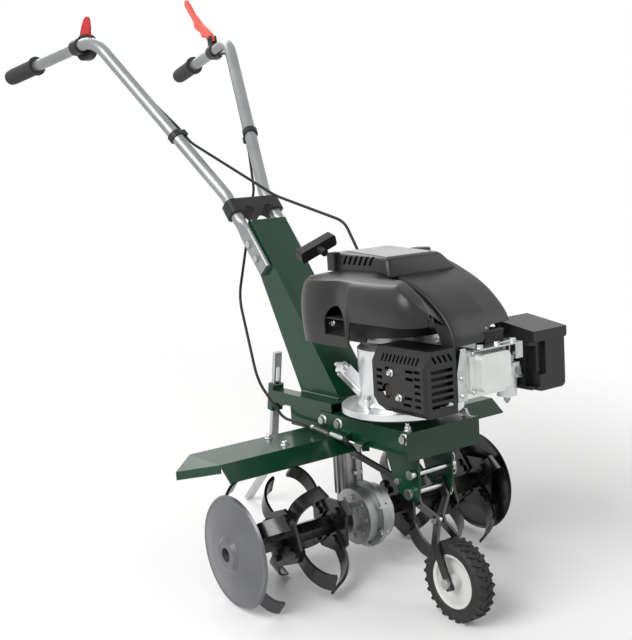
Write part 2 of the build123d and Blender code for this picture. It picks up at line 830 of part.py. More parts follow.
def strut():
    x0 = -bracketHalf + sheet
    line = Line(strutFront, strutRear)
    way = (line @ 1 - line @ 0).normalized()
    a, b = Vector(*strutFront), Vector(*strutRear)
    across = Vector(-way.Y, way.X) * strutHalf
    a, b = a - way * strutHalf, b + way * strutHalf
    bar = sidePlate([(p.X, p.Y) for p in (a + across, b + across, b - across, a - across)], x0, x0 + forkBar)
    bar = fillet(bar.edges().filter_by(Axis.X), strutHalf - 1)
    for y, z in (strutFront, strutRear):
        bar -= rod((-bracketHalf, y, z), (0, y, z), strutBolt + running)
    return bar


def strutBolts():
    out = -bracketHalf
    across = 2 * strutHalf
    made = bolt((out, *strutFront), (1, 0, 0), strutBolt, across, sheet + forkBar)
    other = bolt((out + sheet, *strutRear), (1, 0, 0), strutBolt, across, forkBar - seat, nut=False)
    return group([made, other])


def makeFront(floor):
    wheelZ = groundLine(wheelY, wheelRadius, floor)
    plane, length = forkFrame(wheelZ)
    parts["wheel_fork"] = group([forkBarShape(plane, length, sign) for sign in (-1, 1)])
    middle = plane.from_local_coords((0, 0, 56))
    neck = bolt((-forkNeck - forkBar / 2, middle.Y, middle.Z), (1, 0, 0), 3.0, 10.0, 2 * forkNeck + forkBar)
    spacer = forkNeck - forkBar / 2 - 2 * clear
    neck += rod((-spacer, middle.Y, middle.Z), (spacer, middle.Y, middle.Z), 6)
    parts["wheel_tyre"] = tyre(wheelY, wheelZ)
    parts["wheel_rim"] = rim(wheelY, wheelZ)
    outer = forkWheelHalf + forkBar / 2
    axle = bolt((-outer, wheelY, wheelZ), (1, 0, 0), pinRadius, 16.0, 2 * outer)
    gap = forkWheelHalf - forkBar / 2 - seat
    axle += pipe((-gap, wheelY, wheelZ), (gap, wheelY, wheelZ), pinRadius + 3, pinRadius)
    parts["fork_bolts"] = group([axle, neck])
    parts["wheel_bracket"] = wheelBracket()
    pin = rod((-bracketHalf - 4, *forkPivot), (bracketHalf + 9, *forkPivot), pinRadius)
    pin += rod((-bracketHalf - 9, *forkPivot), (-bracketHalf - 1, *forkPivot), pinRadius + 4)
    pin += rod((bracketHalf + 1, *forkPivot), (bracketHalf + 4, *forkPivot), pinRadius + 3)
    lock = rod((-bracketHalf - 8, *lockSpot), (bracketHalf + 14, *lockSpot), pinRadius)
    lock += rod((-bracketHalf - 12, *lockSpot), (-bracketHalf - 2, *lockSpot), pinRadius + 3)
    parts["fork_pins"] = group([pin, lock])
    parts["brace_strut"] = strut()
    fasteners.append(strutBolts())


# Drag bar in its socket behind the deck; its long slot rides on the socket's cross pin
def barWay():
    return (sin(radians(barLean)), -cos(radians(barLean)))


def barPoint(s):
    way = barWay()
    return (barTop[0] + way[0] * s, barTop[1] + way[1] * s)


def dragBar(floor):
    knee = barPoint(barKnee)
    tip = (barTipY, groundLine(barTipY, barThick * 0.45, floor))
    path = FilletPolyline((0, *barTop), (0, *knee), (0, *tip), radius=barCurve)
    face = Plane(origin=path @ 0, x_dir=(1, 0, 0), z_dir=path % 0) * RectangleRounded(barWidth, barThick, 2)
    pin = socketFrame()
    plane = Plane(origin=pin.origin, x_dir=pin.z_dir, z_dir=pin.y_dir)
    slot = Pos(barTravel / 2, 0) * SlotCenterToCenter(barTravel, 2 * (dragPinRadius + slide))
    return sweep(face, path=path) - extrude(plane * slot, barThick, both=True)


pinDepth = (barTop[1] - sum(socketZ) / 2) / cos(radians(barLean))


def socketFrame():
    way = barWay()
    return Plane(origin=(0, *barPoint(pinDepth)), x_dir=(1, 0, 0), z_dir=(0, -way[0], -way[1]))


def dragSocket():
    plane = socketFrame()
    height = socketZ[1] - socketZ[0]
    wide, deep = barWidth + 2 * socketWall, barThick + 2 * socketWall
    block = extrude(plane.offset(-height / 2) * RectangleRounded(wide, deep, 4), height)
    top = socketZ[1] - 12
    arm = box(-wide / 2, wide / 2, boxRear, barPoint(pinDepth)[0], top - 24, top)
    arm -= box(-wide / 2 + sheet, wide / 2 - sheet, boxRear + sheet, 2 * barTop[0], top - 30, top - sheet)
    body = block + arm
    body -= extrude(plane.offset(-height) * Rectangle(barWidth + 2 * slide, barThick + 2 * slide), 2 * height)
    return body - pinRod(dragPinRadius + running, 2 * deep)


def pinRod(radius, reach):
    plane = socketFrame()
    return rod(onPlane(plane, 0, reach, 0), onPlane(plane, 0, -reach, 0), radius)


def dragPin():
    plane = socketFrame()
    depth = barThick / 2 + socketWall
    reach = (depth + 6, -depth - 16, -depth - 19, -depth - 22)
    front, tip, edge, back = (onPlane(plane, 0, v, 0) for v in reach)
    return rod(front, back, dragPinRadius) + pipe(tip, edge, dragPinRadius + 7, dragPinRadius)


def makeDrag(floor):
    parts["drag_bar"] = dragBar(floor)
    parts["drag_socket"] = dragSocket()
    fasteners.append(dragPin())


# Belt drive under the deck
def pulley(y, x, groove, z):
    flange = groove + beltThick + 2
    body = rod((x, y, z - beltWidth / 2 - 4), (x, y, z + beltWidth / 2 + 4), flange)
    gap = beltWidth / 2 + 0.8
    return body - pipe((x, y, z - gap), (x, y, z + gap), flange + 1, groove)


def beltLoop(grow):
    small = Pos(0, crankY) * Circle(crankPulley + grow)
    large = Pos(0, wormY) * Circle(drivenPulley + grow)
    return make_hull(small.edges() + large.edges())


def beltEdge(y):
    small, large = crankPulley + clear + beltThick, drivenPulley + clear + beltThick
    rise = (large - small) / (wormY - crankY)
    return (small + (y - crankY) * rise) / (1 - rise * rise) ** 0.5


idlerPivot = (half - 2 * sheet - 2 * deckBolt - idlerEye, idlerPivotY)
idlerSpot = (beltEdge(idlerY) + idlerGap + idlerRadius, idlerY)


def eyeBar(a, b, eye, width, low, thick):
    arm = rod((*a, low), (*a, low + thick), eye) + rod((*b, low), (*b, low + thick), eye)
    hull = make_hull((Pos(*a) * Circle(width)).edges() + (Pos(*b) * Circle(width)).edges())
    return arm + extrude(Plane.XY.offset(low) * hull, thick)


def makeBelt():
    low = beltZ - beltWidth / 2
    outer = extrude(Plane.XY.offset(low) * beltLoop(clear + beltThick), beltWidth)
    inner = extrude(Plane.XY.offset(low - 1) * beltLoop(clear), beltWidth + 2)
    parts["drive_belt"] = outer - inner
    bore = rod((0, wormY, 0), (0, wormY, 2 * trayTop), wormShaft + seat)
    parts["driven_pulley"] = pulley(wormY, 0, drivenPulley, beltZ) - bore
    z = beltZ + beltWidth / 2 + 5
    arm = eyeBar(idlerPivot, idlerSpot, idlerEye, idlerEye - 2, z, plateThick)
    arm -= rod((*idlerPivot, z - 1), (*idlerPivot, z + plateThick + 1), idlerStud + running)
    arm += rod((*idlerSpot, beltZ - beltWidth / 2 - 3), (*idlerSpot, z + 1), idlerStud)
    parts["idler_arm"] = arm
    bottom, top = (*idlerSpot, low - 2), (*idlerSpot, low + beltWidth + 3)
    parts["idler_pulley"] = pipe(bottom, top, idlerRadius, idlerStud + running)
    roof = boxTop - sheet
    stud = rod((*idlerPivot, z - 3), (*idlerPivot, roof), idlerStud)
    stud += rod((*idlerPivot, z - 4), (*idlerPivot, z - 0.4), idlerEye - 2)
    stud += rod((*idlerPivot, z + plateThick + 0.4), (*idlerPivot, roof), idlerEye - 2)
    fasteners.append(stud)


# Engine
def onCrank(z):
    return Plane(origin=(0, crankY, z), x_dir=(1, 0, 0), z_dir=(0, 0, 1))


def bossSpot(k):
    a = radians(30 + 60 * k)
    reach = blockRadius + 5
    return (reach * sin(a), crankY + reach * cos(a))


def crankcase():
    bore = crankRadius + running
    foot = [(bore, trayTop), (sumpFoot, trayTop), (sumpFoot + 8, sumpLow - 4)]
    rim = sumpRadius - 6
    flange = [(rim, sumpLow), (sumpRadius, sumpLow + 3), (sumpRadius, sumpHigh), (rim, sumpHigh)]
    wall = [(blockRadius + 6, sumpHigh + 4), (blockRadius, sumpHigh + 12), (blockRadius, blockTop - 8),
            (blockRadius - 8, blockTop), (bore, blockTop)]
    profile = foot + flange + wall
    body = lathe(profile, onCrank(0))
    for k in range(bossCount):
        x, y = bossSpot(k)
        body += rod((x, y, sumpHigh - 2), (x, y, sumpHigh + bossHeight), bossHeight / 2)
    front = crankY - blockRadius
    body += box(cylinderX - 44, cylinderX + 44, front - 2, crankY - 30, cylinderZ - 42, cylinderZ + 28)
    body -= rod((0, crankY, 0), (0, crankY, 2 * blockTop), bore)
    neck = extrude(fillerPlane() * RectangleRounded(fillerWide, fillerWide, 4), -fillerLong)
    return body + neck


# Filler neck: a square cast spout that leans out beside the barrel, closed by a turning cap
def fillerPlane():
    return Plane(origin=fillerEnd, x_dir=(0, 1, 0), z_dir=fillerWay)


def oilCap():
    plane = fillerPlane()
    cap = extrude(plane.offset(0.2) * Circle(fillerWide / 2), 8)
    return cap + extrude(plane.offset(8) * RectangleRounded(fillerWide - 2, 6, 2.5), 8)


def crankshaft():
    end = beltZ - beltWidth / 2 - 6
    shaft = rod((0, crankY, end), (0, crankY, blockTop + 46), crankRadius)
    wheel = rod((0, crankY, blockTop + 6), (0, crankY, blockTop + 34), flywheelRadius)
    low, high = (0, crankY, blockTop + 18), (0, crankY, blockTop + 35)
    wheel -= pipe(low, high, flywheelRadius - 22, crankRadius + 14)
    for k in range(12):
        fin = box(-2, 2, flywheelRadius - 20, flywheelRadius - 3, blockTop + 30, blockTop + 40)
        wheel += Pos(0, crankY, 0) * Rot(0, 0, 30 * k) * fin
    return shaft + wheel


def cylinder():
    front = crankY - blockRadius - 2
    back = coverFront + 24
    body = rod((cylinderX, front, cylinderZ - 6), (cylinderX, back, cylinderZ - 6), 34)
    count = 9
    pitch = (front - back - 6) / count
    for k in range(count):
        y = front - 3 - pitch * k
        fin = box(cylinderX - 47, cylinderX + 47, y - 3, y, cylinderZ - 46, cylinderZ + 32)
        body += fillet(fin.edges().filter_by(Axis.Y), 10)
    body += box(cylinderX - 44, cylinderX + 44, back, back + 14, cylinderZ - 44, cylinderZ + 34)
    return body


def rockerCover():
    back = coverFront + 24
    wide, high, lip = coverSize
    plane = Plane(origin=(cylinderX, back, cylinderZ - 2), x_dir=(1, 0, 0), z_dir=(0, -1, 0))
    cover = extrude(plane * RectangleRounded(wide, high, 12), lip)
    crown = RectangleRounded(wide - 2 * lip, high - 2 * lip, 12)
    return cover + extrude(plane.offset(lip) * crown, back - coverFront - lip, taper=6)


# Cowl: a side wing and a front dome under one crown, with a louvred recess between them
def crownSide(curve, low, inset):
    (y0, z0), (y1, z1), (y2, z2) = curve
    slant = 0.7 * inset
    top, rear = cowlTop - inset, cowlRear - inset
    start, end = (y0, z0 - inset), (y2 + inset, z2)
    face = make_face([
        ThreePointArc(end, (y1 + slant, z1 - slant), start),
        Line(start, (y0 + 20, top)),
        Line((y0 + 20, top), (rear - 18, top)),
        ThreePointArc((rear - 18, top), (rear - 5, top - 5), (rear, top - 18)),
        Line((rear, top - 18), (rear, low)),
        Line((rear, low), (y2 + inset, low)),
        Line((y2 + inset, low), end),
    ])
    return Plane.YZ * face


def wingForm(inset):
    low = cowlBottom - inset
    body = extrude(crownSide(wingCurve, low, inset), cowlHalf, both=True)
    middle = Pos(0, (cowlRear + cowlFront) / 2)
    plan = RectangleRounded(2 * (cowlHalf - inset), cowlRear - cowlFront - 2 * inset, cowlCorner - inset)
    body &= extrude(Plane.XY * middle * plan, cowlTop)
    wide = cowlHalf - inset
    right = [(-wide, low), (-wide + 3, cowlShoulder - 13 - inset), (-wide + 13, cowlShoulder - inset),
             (plateauX[0], cowlTop - inset)]
    left = [(-x, z) for x, z in reversed(right)]
    return body & extrude(Plane.XZ * make_face(Polyline(*right, *left, close=True)), 2 * cowlTop, both=True)


def domeForm(inset):
    face = crownSide(domeCurve, domeCurve[2][1] - 2 - inset, inset)
    wide = domeX[1] - domeX[0] - 2 * inset
    body = extrude(Pos(domeX[0] + inset, 0, 0) * face, wide)
    body &= box(-cowlHalf, cowlHalf, 2 * cowlFront, crankY, 0, cowlTop)
    if inset:
        return body
    return fillet([e for e in body.edges() if e.geom_type == GeomType.CIRCLE], 9)


def louvreForm(inset):
    back, low = wingCurve[0][0] - 8 + inset, cowlRim + 6 - inset
    slab = box(louvreX - inset, domeX[0] + cowlWall, 2 * cowlFront, back, low, 2 * cowlTop)
    return slab - extrude(crownSide(wingCurve, cowlBottom, louvreDepth + inset), cowlHalf, both=True)


def skirtCut():
    front = crankY - 6
    return sidePlate([(2 * cowlFront, 0), (front + 12, 0), (front + 12, cowlBottom + 8), (front, cowlRim),
                      (2 * cowlFront, cowlRim)], -2 * cowlHalf, 2 * cowlHalf)


def plateauForm(inset):
    (rearTop, frontTop), (rear, front) = plateauTop, plateauY
    low = cowlTop - 20
    right, slope, left = plateauX
    across = [(right - 2 + inset, low), (right + 2 + inset, rearTop), (slope - inset, rearTop),
              (left + 8 - inset, low)]
    body = extrude(Plane.XZ * make_face(Polyline(*across, close=True)), 2 * cowlTop, both=True)
    outline = [(rear + 4 - inset, low), (rear - 8 - inset, rearTop - inset),
               (front + 6 + inset, frontTop - inset), (front - 3 + inset, low)]
    return body & sidePlate(outline, -cowlHalf, cowlHalf)


def ropeWay():
    a = radians(ropeAngle)
    return (0, cos(a), sin(a))


def ropePoint(s):
    way = ropeWay()
    return (ropeX, ropeGuide[0] + way[1] * s, ropeGuide[1] + way[2] * s)


def shroud():
    middle = Pos(0, (cowlRear + cowlFront) / 2)
    plan = RectangleRounded(2 * cowlHalf - cowlWall, cowlRear - cowlFront - cowlWall, cowlCorner)
    floorPlate = extrude(Plane.XY.offset(cowlRim) * middle * plan, cowlWall)
    floorPlate -= box(domeX[0], domeX[1], 2 * cowlFront, crankY - shroudRadius, 0, cowlTop)
    ring = rod((0, crankY, cowlBottom + 15), (0, crankY, cowlRim + cowlWall), shroudRadius + cowlWall)
    return floorPlate + ring - rod((0, crankY, 0), (0, crankY, cowlRim + 2 * cowlWall), shroudRadius)


def boltArch():
    middle, low, high = -84.0, cowlBottom + 20, cowlBottom + 62
    arch = rod((-2 * cowlHalf, middle, high - 22), (-cowlHalf + 40, middle, high - 22), 22)
    return arch + box(-2 * cowlHalf, -cowlHalf + 40, middle - 22, middle + 22, low, high - 22)


def cowl():
    shell = wingForm(0) - louvreForm(0) - skirtCut() + domeForm(0) + plateauForm(0)
    shell -= wingForm(cowlWall) - louvreForm(cowlWall)
    shell -= domeForm(domeWall)
    shell -= plateauForm(cowlWall)
    shell -= boltArch()
    for k in range(4):
        z = cowlRim + 12 + 15 * k
        shell -= box(louvreX + 8, domeX[0] - 7, 2 * cowlFront, wingCurve[0][0] - 20, z, z + 5)
    for k in range(6):
        y = plateauY[0] - 26 - 14 * k
        slot = [(y, cowlTop + 3), (y - 6, cowlTop + 3), (y - 13, cowlTop + 18), (y - 7, cowlTop + 18)]
        shell -= sidePlate(slot, plateauX[0] - 10, plateauX[0] + 10)
    guide = box(ropeX - 11, ropeX + 11, plateauY[0] - 12, plateauY[0] + 8, cowlTop - 8, plateauTop[0] - 2)
    shell += fillet(guide.edges().filter_by(Axis.Z), 3)
    x, y = fuelNeck
    shell += rod((x, y, cowlTop - 14), (x, y, fuelCapLow), fuelNeckRadius)
    shell -= rod((x, y, cowlTop - 20), (x, y, fuelCapLow + 1), fuelNeckRadius - cowlWall)
    return shell + shroud() - rod(ropePoint(-ropeInside), ropePoint(ropeOut), ropeRadius + 1)


def cowlPanel():
    (rearTop, frontTop), (rear, front) = plateauTop, plateauY
    depth = rear - 8 - (front + 6)
    plane = Plane(origin=(0, rear - 8, rearTop), x_dir=(1, 0, 0), z_dir=(0, frontTop - rearTop, depth))
    right, left = plateauX[0] + panelEdge, plateauX[1] - panelEdge
    rear = [(right + 2, -panelEdge), (left - 2, -panelEdge - 8)]
    outline = Polyline(*rear, (left, 8 - depth), (right - 4, 8 - depth), close=True)
    return extrude(plane * fillet(make_face(outline).vertices(), 8), panelSheet)


def starterHandle():
    way = Vector(*ropeWay())
    base = Vector(*ropePoint(ropeOut))
    cross = Vector(0.9, 0, 0.42)
    cross = (cross - way * cross.dot(way)).normalized()
    plane = Plane(origin=tuple(base + way * 2), x_dir=tuple(cross), z_dir=tuple(way))
    bar = extrude(plane * RectangleRounded(handleBarLong, handleBarDeep, 5), handleBarHigh)
    bar = fillet(bar.faces().sort_by(Axis(plane.origin, plane.z_dir))[-1].edges(), 3)
    stem = rod(tuple(base - way * 16), tuple(base + way * 3), 6.5)
    return stem + bar - rod(ropePoint(0), ropePoint(ropeOut - 4), ropeRadius + seat)


def makeStarter():
    parts["starter_handle"] = starterHandle()
    parts["starter_rope"] = rod(ropePoint(-ropeInside), ropePoint(ropeOut - 4), ropeRadius)


def fuelCap():
    x, y = fuelNeck
    z = fuelCapLow
    cap = rod((x, y, z), (x, y, z + 14), fuelCapRadius)
    cap = fillet(cap.edges().sort_by(Axis.Z)[-1], 3)
    for k in range(12):
        a = radians(30 * k)
        px, py = x + fuelCapRadius * sin(a), y + fuelCapRadius * cos(a)
        cap -= rod((px, py, z - 1), (px, py, z + 10), 2.2)
    return cap


def slots(x, spots, size):
    return [box(x - 6, x + 6, y, y + size[0], z, z + size[1]) for y, z in spots]


def frontPrism(points, y0, y1):
    return extrude(Plane.XZ.offset(-y1) * make_face(Polyline(*points, close=True)), y1 - y0)


# Muffler guard: a folded sheet box with a sloped shoulder, rows of slots and the outlet hole
def mufflerGuard():
    x0, x1, y0, y1, z0, z1 = guardBox
    rise, lean = guardShoulder
    t = guardSheet
    profile = [(x0, z0 + 10), (x0 + 8, z0), (x1, z0), (x1, z1), (x0 + lean, z1), (x0, z1 - rise)]
    inside = [(x0 + t, z0 + 11), (x0 + 9, z0 + t), (x1 + 1, z0 + t), (x1 + 1, z1 - t)]
    inside += [(x0 + lean + 1, z1 - t), (x0 + t, z1 - rise)]
    body = frontPrism(profile, y0, y1)
    upright = body.edges().filter_by(Axis.Z)
    body = fillet([e for e in upright if abs(e.center().Y - y0) + abs(e.center().X - x0) < 1], 7)
    body -= frontPrism(inside, y0 + t, y1 + 1)
    body -= sidePlate([(y1 + 1, z0 - 1), (y1 - 22, z0 - 1), (y1 + 1, z0 + 24)], x0 - 5, x1 + 5)
    for k in range(10):
        y = y0 + 18 + 9.2 * k
        body -= box(x0 - 5, x0 + 9, y, y + 4.6, z1 - rise + 2, z1 - 5)
    rear = [(y1 - 24, z0 + 32 + 11 * k) for k in range(4)]
    front = [(y0 + 10, z0 + 16 + 11 * k) for k in range(6)]
    middle = [(y0 + 26, z0 + 58), (y0 + 26, z0 + 70), (y1 - 50, z0 + 70)]
    middle += [(y0 + 34, z0 + 16), (y0 + 30, z0 + 27)]
    for cut in slots(x0, rear + front, (14, 5)) + slots(x0, middle, (18, 5)):
        body -= cut
    for k in range(7):
        y = y0 + 30 + 8 * k
        body -= box(x0 - 5, x0 + 7, y, y + 4, z0 + 3, z0 + 9)
    body -= rod((x0 - 5, *outlet), (x0 + 5, *outlet), outletRadius + 3)
    for k in range(6):
        z = z0 + 14 + 11 * k
        body -= box(x0 + 14, x1 - 8, y0 - 5, y0 + 5, z, z + 6)
    for k in range(4):
        x = x0 + 16 + 11 * k
        slot = Polyline((x, z1 - 8), (x + 5, z1 - 8), (x + 12, z1 - 20), (x + 7, z1 - 20), close=True)
        body -= extrude(Plane.XZ.offset(-y0 - 5) * make_face(slot), 10)
    return body


outlet = (guardBox[3] - 35.0, guardBox[4] + 36.0)


def muffler():
    x0, x1, y0, y1, z0, z1 = guardBox
    can = box(x0 + 14, x1 - 4, y0 + 10, y1 - 8, z0 + 10, z1 - 22)
    can = fillet(can.edges(), 8)
    pipeOut = rod((x0 + 16, *outlet), (x0 + 3, *outlet), outletRadius)
    link = rod((x1 - 8, y0 + 40, cylinderZ - 14), (cylinderX - 47.5, y0 + 40, cylinderZ - 14), 11)
    return can + pipeOut + link


def carburettor():
    x = cylinderX + 47.5
    y = coverFront + 48
    body = rod((x, y, cylinderZ - 18), (x + 44, y, cylinderZ - 18), 13)
    body += rod((x + 22, y, cylinderZ - 60), (x + 22, y, cylinderZ - 18), 17)
    body += box(x + 6, x + 38, y - 16, y + 16, cylinderZ - 30, cylinderZ - 4)
    return body + rod((x + 22, y, cylinderZ - 64), (x + 22, y, cylinderZ - 60), 6)


# Air filter box: rounded body, front lid with a notch, sloped slab roof and side slots
def airBox():
    x0, x1 = (cylinderX + x for x in airX)
    y0, y1 = (coverFront + y for y in airY)
    z0, z1 = (cylinderZ + z for z in airZ)
    body = fillet(box(x0, x1, y0 + 8, y1, z0, z1).edges(), 9)
    lid = fillet(box(x0 + 6, x1, y0, y0 + 20, z0, z1).edges().filter_by(Axis.Y), 9)
    lid -= box(x0, x0 + 26, y0 - 1, y0 + 9, z0 + 28, z1)
    roof = [(y0 - 3, z1 - 7), (y0 - 3, z1 + 11), (y1 + 4, z1 + 25), (y1 + 4, z1 - 7)]
    slab = sidePlate(roof, x0 - 4, x1 + 3)
    slab = fillet(slab.edges().filter_by(Axis.Y), 5)
    body += lid + slab
    body -= box(x0 - 20, x0 + 12, y0 - 20, y0 + 24, z0 + 8, z1 - 15)
    for k in range(3):
        z = z0 + 30 + 14 * k
        body -= box(x1 - 5, x1 + 5, y0 + 18, y1 - 14, z, z + 6)
    return body


def controlBracket():
    y = coverFront + 40
    z = cylinderZ + 36
    plate = box(cylinderX - 38, cylinderX + 56, y - 44, y + 20, z, z + 2.5)
    plate += box(cylinderX + 40, cylinderX + 56, y - 44, y - 42, z - 24, z + 2)
    foot = box(cylinderX - 20, cylinderX + 20, y - 16, y + 10, cylinderZ + 34, z + 1)
    for dx in (-28, 10, 46):
        plate += hexBar((cylinderX + dx, y - 32, z + 2.5), (0, 0, 1), 10, 5)
    return plate + foot


def engineScrews():
    made = []
    for k in range(bossCount):
        x, y = bossSpot(k)
        made.append(hexBar((x, y, sumpHigh + bossHeight), (0, 0, 1), bossHeight / 2, 6))
    return group(made)


def makeEngine():
    parts["crankcase"] = crankcase()
    parts["crankshaft"] = crankshaft()
    bore = rod((0, crankY, 0), (0, crankY, 2 * trayTop), crankRadius + seat)
    parts["crank_pulley"] = pulley(crankY, 0, crankPulley, beltZ) - bore
    fasteners.append(engineScrews())
    parts["oil_cap"] = oilCap()
    parts["cylinder"] = cylinder()
    parts["rocker_cover"] = rockerCover()
    parts["cowl"] = cowl()
    parts["cowl_panel"] = cowlPanel()
    parts["fuel_cap"] = fuelCap()
    parts["muffler_guard"] = mufflerGuard()
    parts["muffler"] = muffler()
    parts["carburettor"] = carburettor()
    parts["air_box"] = airBox()
    parts["control_bracket"] = controlBracket()
    makeStarter()


# Controls on the handlebars
def outlineOn(plane, points, thick):
    return extrude(plane * make_face(Polyline(*points, close=True)), thick / 2, both=True)


def clampRing(plane):
    start = plane.from_local_coords((-clampWidth / 2, 0, 0))
    side = Plane(origin=start, x_dir=plane.y_dir, z_dir=plane.x_dir)
    return extrude(side * (Circle(handleRadius + 4) - Circle(handleRadius + seat)), clampWidth)


def clutchMount():
    plane = handleSpot(1, leverSet)
    mount = clampRing(plane)
    cheek = [(-11, handleRadius + 2), (11, handleRadius + 2), (9, leverLift + 8), (-9, leverLift + 8)]
    for w in (-1, 1):
        far = plane.offset(w * (leverThick / 2 + 2.5))
        mount += outlineOn(far, cheek, 4)
    low = -handleRadius - 1
    block = [(-34, low), (-8, low), (-8, low - 8), (-34, low - 8)]
    return mount + outlineOn(plane, block, 10)


def leverPin(plane, radius, reach, spare=0.0):
    ends = [onPlane(plane, 0, leverLift, side * reach) for side in (-1, 1)]
    return rod(*ends, radius + spare)


def clutchLever():
    plane = handleSpot(1, leverSet)
    under = [(-8, -5), (6, -6), (26, 8), (42, 24), (44, 18), (51, 19), (60, 34), (86, 50), (93, 57), (88, 64)]
    tip = [(98, 76), (122, 104), (133, 118), (131, 128), (121, 129), (110, 118)]
    upper = [(84, 86), (62, 66), (44, 50), (20, 33), (-2, 16), (-9, 6)]
    outline = [(x, y + leverLift) for x, y in under + tip + upper]
    lever = outlineOn(plane, outline, leverThick - 2 * slide)
    corners = [e for e in lever.edges() if abs((e % 0.5).dot(plane.z_dir)) > 0.99]
    lever = fillet(corners, 2)
    return lever - leverPin(plane, leverPinRadius, 2 * leverThick, running)


def throttlePlane():
    return handleSpot(-1, throttleSet).offset(throttleAside)


def throttleHousing():
    plane = throttlePlane()
    face = plane * RectangleRounded(2 * throttleRadius, 2 * throttleRadius - 6, throttleRadius - 4)
    house = extrude(face, throttleHalf, both=True)
    mouth = Rectangle(4 * throttleRadius, 2 * throttleRadius)
    slot = extrude(plane * Pos(0, throttleRadius - 11) * mouth, throttleThick / 2 + clear, both=True)
    house = clampRing(handleSpot(-1, throttleSet)) + house - slot
    return house + throttlePin(plane, throttlePinRadius)


def throttlePin(plane, radius):
    reach = throttleHalf - 1
    return rod(onPlane(plane, 0, 0, -reach), onPlane(plane, 0, 0, reach), radius)


def throttleLever():
    plane = throttlePlane()
    right = [(9, -4), (10, 4), (17, 16), (15, 30), (4, 46), (-6, 57)]
    left = [(-13, 61), (-21, 61), (-25, 54), (-24, 38), (-18, 16), (-10, 2), (-8, -5), (0, -9)]
    lever = outlineOn(plane, right + left, throttleThick)
    corners = [e for e in lever.edges() if abs((e % 0.5).dot(plane.z_dir)) > 0.99]
    return fillet(corners, 1.5) - throttlePin(plane, throttlePinRadius + running)


def innerCorner(sign, offBend, offInner):
    crest, low, end = Vector(*handleCrest), Vector(handleX, *handleBend), Vector(*handleEnd)
    inside = ((low - crest).normalized() + (end - crest).normalized()).normalized()
    spot = crest + inside * offBend + Vector(-offInner, 0, 0)
    return (sign * spot.X, spot.Y, spot.Z)


def clutchCable():
    start = onPlane(handleSpot(1, leverSet), -35, -handleRadius - 5, 0)
    ear, way = clipEar(1)
    aside = -half - clutchAside
    points = [start, innerCorner(1, 24, 0), tuple(ear + way * 20), tuple(ear - way * 30), *clutchRoute,
              (aside, clutchEnd[0], deckBottom + 14), (aside, clutchEnd[1], deckBottom + 12)]
    return along(points, clutchBends, cableRadius)


def throttleCable():
    start = onPlane(throttlePlane(), -throttleRadius - 0.1, -6, 0)
    ear, way = clipEar(-1)
    points = [start, innerCorner(-1, 22, 14), tuple(ear + way * 20), tuple(ear - way * 26), *throttleRoute]
    return along(points, throttleBends, cableRadius)


def makeControls():
    pin = leverPin(handleSpot(1, leverSet), leverPinRadius, leverThick / 2 + 6.5)
    parts["clutch_mount"] = clutchMount() + pin
    parts["clutch_lever"] = clutchLever()
    parts["throttle_housing"] = throttleHousing()
    parts["throttle_lever"] = throttleLever()
    parts["clutch_cable"] = clutchCable()
    parts["throttle_cable"] = throttleCable()


def stance(lowest):
    return Pos(0, 0, -lowest) * Rot(-standPitch, 0, 0)


def lowestPoint(shapes):
    return min((Rot(-standPitch, 0, 0) * shape).bounding_box().min.Z for shape in shapes)


def build():
    makeRotor()
    floor = lowestPoint(parts.values())
    makeGearbox()
    makeDeck()
    makeHandles()
    makeFront(floor)
    makeDrag(floor)
    makeBelt()
    makeEngine()
    makeControls()
    parts["frame_bolts"] = group(fasteners)
    placed = {name: stance(floor) * shape for name, shape in parts.items()}
    boxes = [shape.bounding_box() for shape in placed.values()]
    low = [min(getattr(b.min, a) for b in boxes) for a in "XYZ"]
    high = [max(getattr(b.max, a) for b in boxes) for a in "XYZ"]
    home = Pos(-(low[0] + high[0]) / 2, -(low[1] + high[1]) / 2, -low[2])
    return {name: home * shape for name, shape in placed.items()}, home * stance(floor)


if __name__ == "__main__":
    os.makedirs("parts", exist_ok=True)
    made, frame = build()
    for name, shape in made.items():
        export_step(shape, f"parts/{name}.step")
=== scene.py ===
import bpy
import bmesh
import json
import math
from mathutils import Matrix, Vector


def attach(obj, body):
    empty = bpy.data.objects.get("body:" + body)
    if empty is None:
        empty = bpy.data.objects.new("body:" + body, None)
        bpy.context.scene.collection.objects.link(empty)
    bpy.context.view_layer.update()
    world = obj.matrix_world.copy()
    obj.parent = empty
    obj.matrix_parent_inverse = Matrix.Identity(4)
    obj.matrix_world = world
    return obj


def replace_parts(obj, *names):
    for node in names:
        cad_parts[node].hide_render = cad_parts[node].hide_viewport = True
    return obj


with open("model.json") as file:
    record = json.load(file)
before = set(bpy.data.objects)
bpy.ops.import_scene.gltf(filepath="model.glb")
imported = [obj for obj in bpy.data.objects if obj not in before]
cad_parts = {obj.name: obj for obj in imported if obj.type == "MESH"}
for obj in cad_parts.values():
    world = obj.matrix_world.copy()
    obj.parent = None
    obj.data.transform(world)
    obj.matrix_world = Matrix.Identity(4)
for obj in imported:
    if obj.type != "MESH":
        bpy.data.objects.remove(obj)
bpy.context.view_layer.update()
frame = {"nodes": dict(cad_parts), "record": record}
nodes = frame["nodes"]
joints = {joint["name"]: joint for joint in frame["record"]["behaviour"]["joints"]}
axle = Vector(joints["tine_spin"]["pos_m"])
noseUp = 6.0  # degrees the level deck is tipped back
mm = 0.001  # metres
chassis = (Matrix.Translation(axle) @ Matrix.Rotation(math.radians(-noseUp), 4, "X")
           @ Matrix.Scale(mm, 4))
print("frame loaded:", len(nodes), "nodes")


# sRGB hex to the linear colour that shaders take
def linear(hexCode):
    parts = [int(hexCode[i:i + 2], 16) / 255 for i in (1, 3, 5)]
    return [c / 12.92 if c <= 0.04045 else ((c + 0.055) / 1.055) ** 2.4 for c in parts] + [1.0]


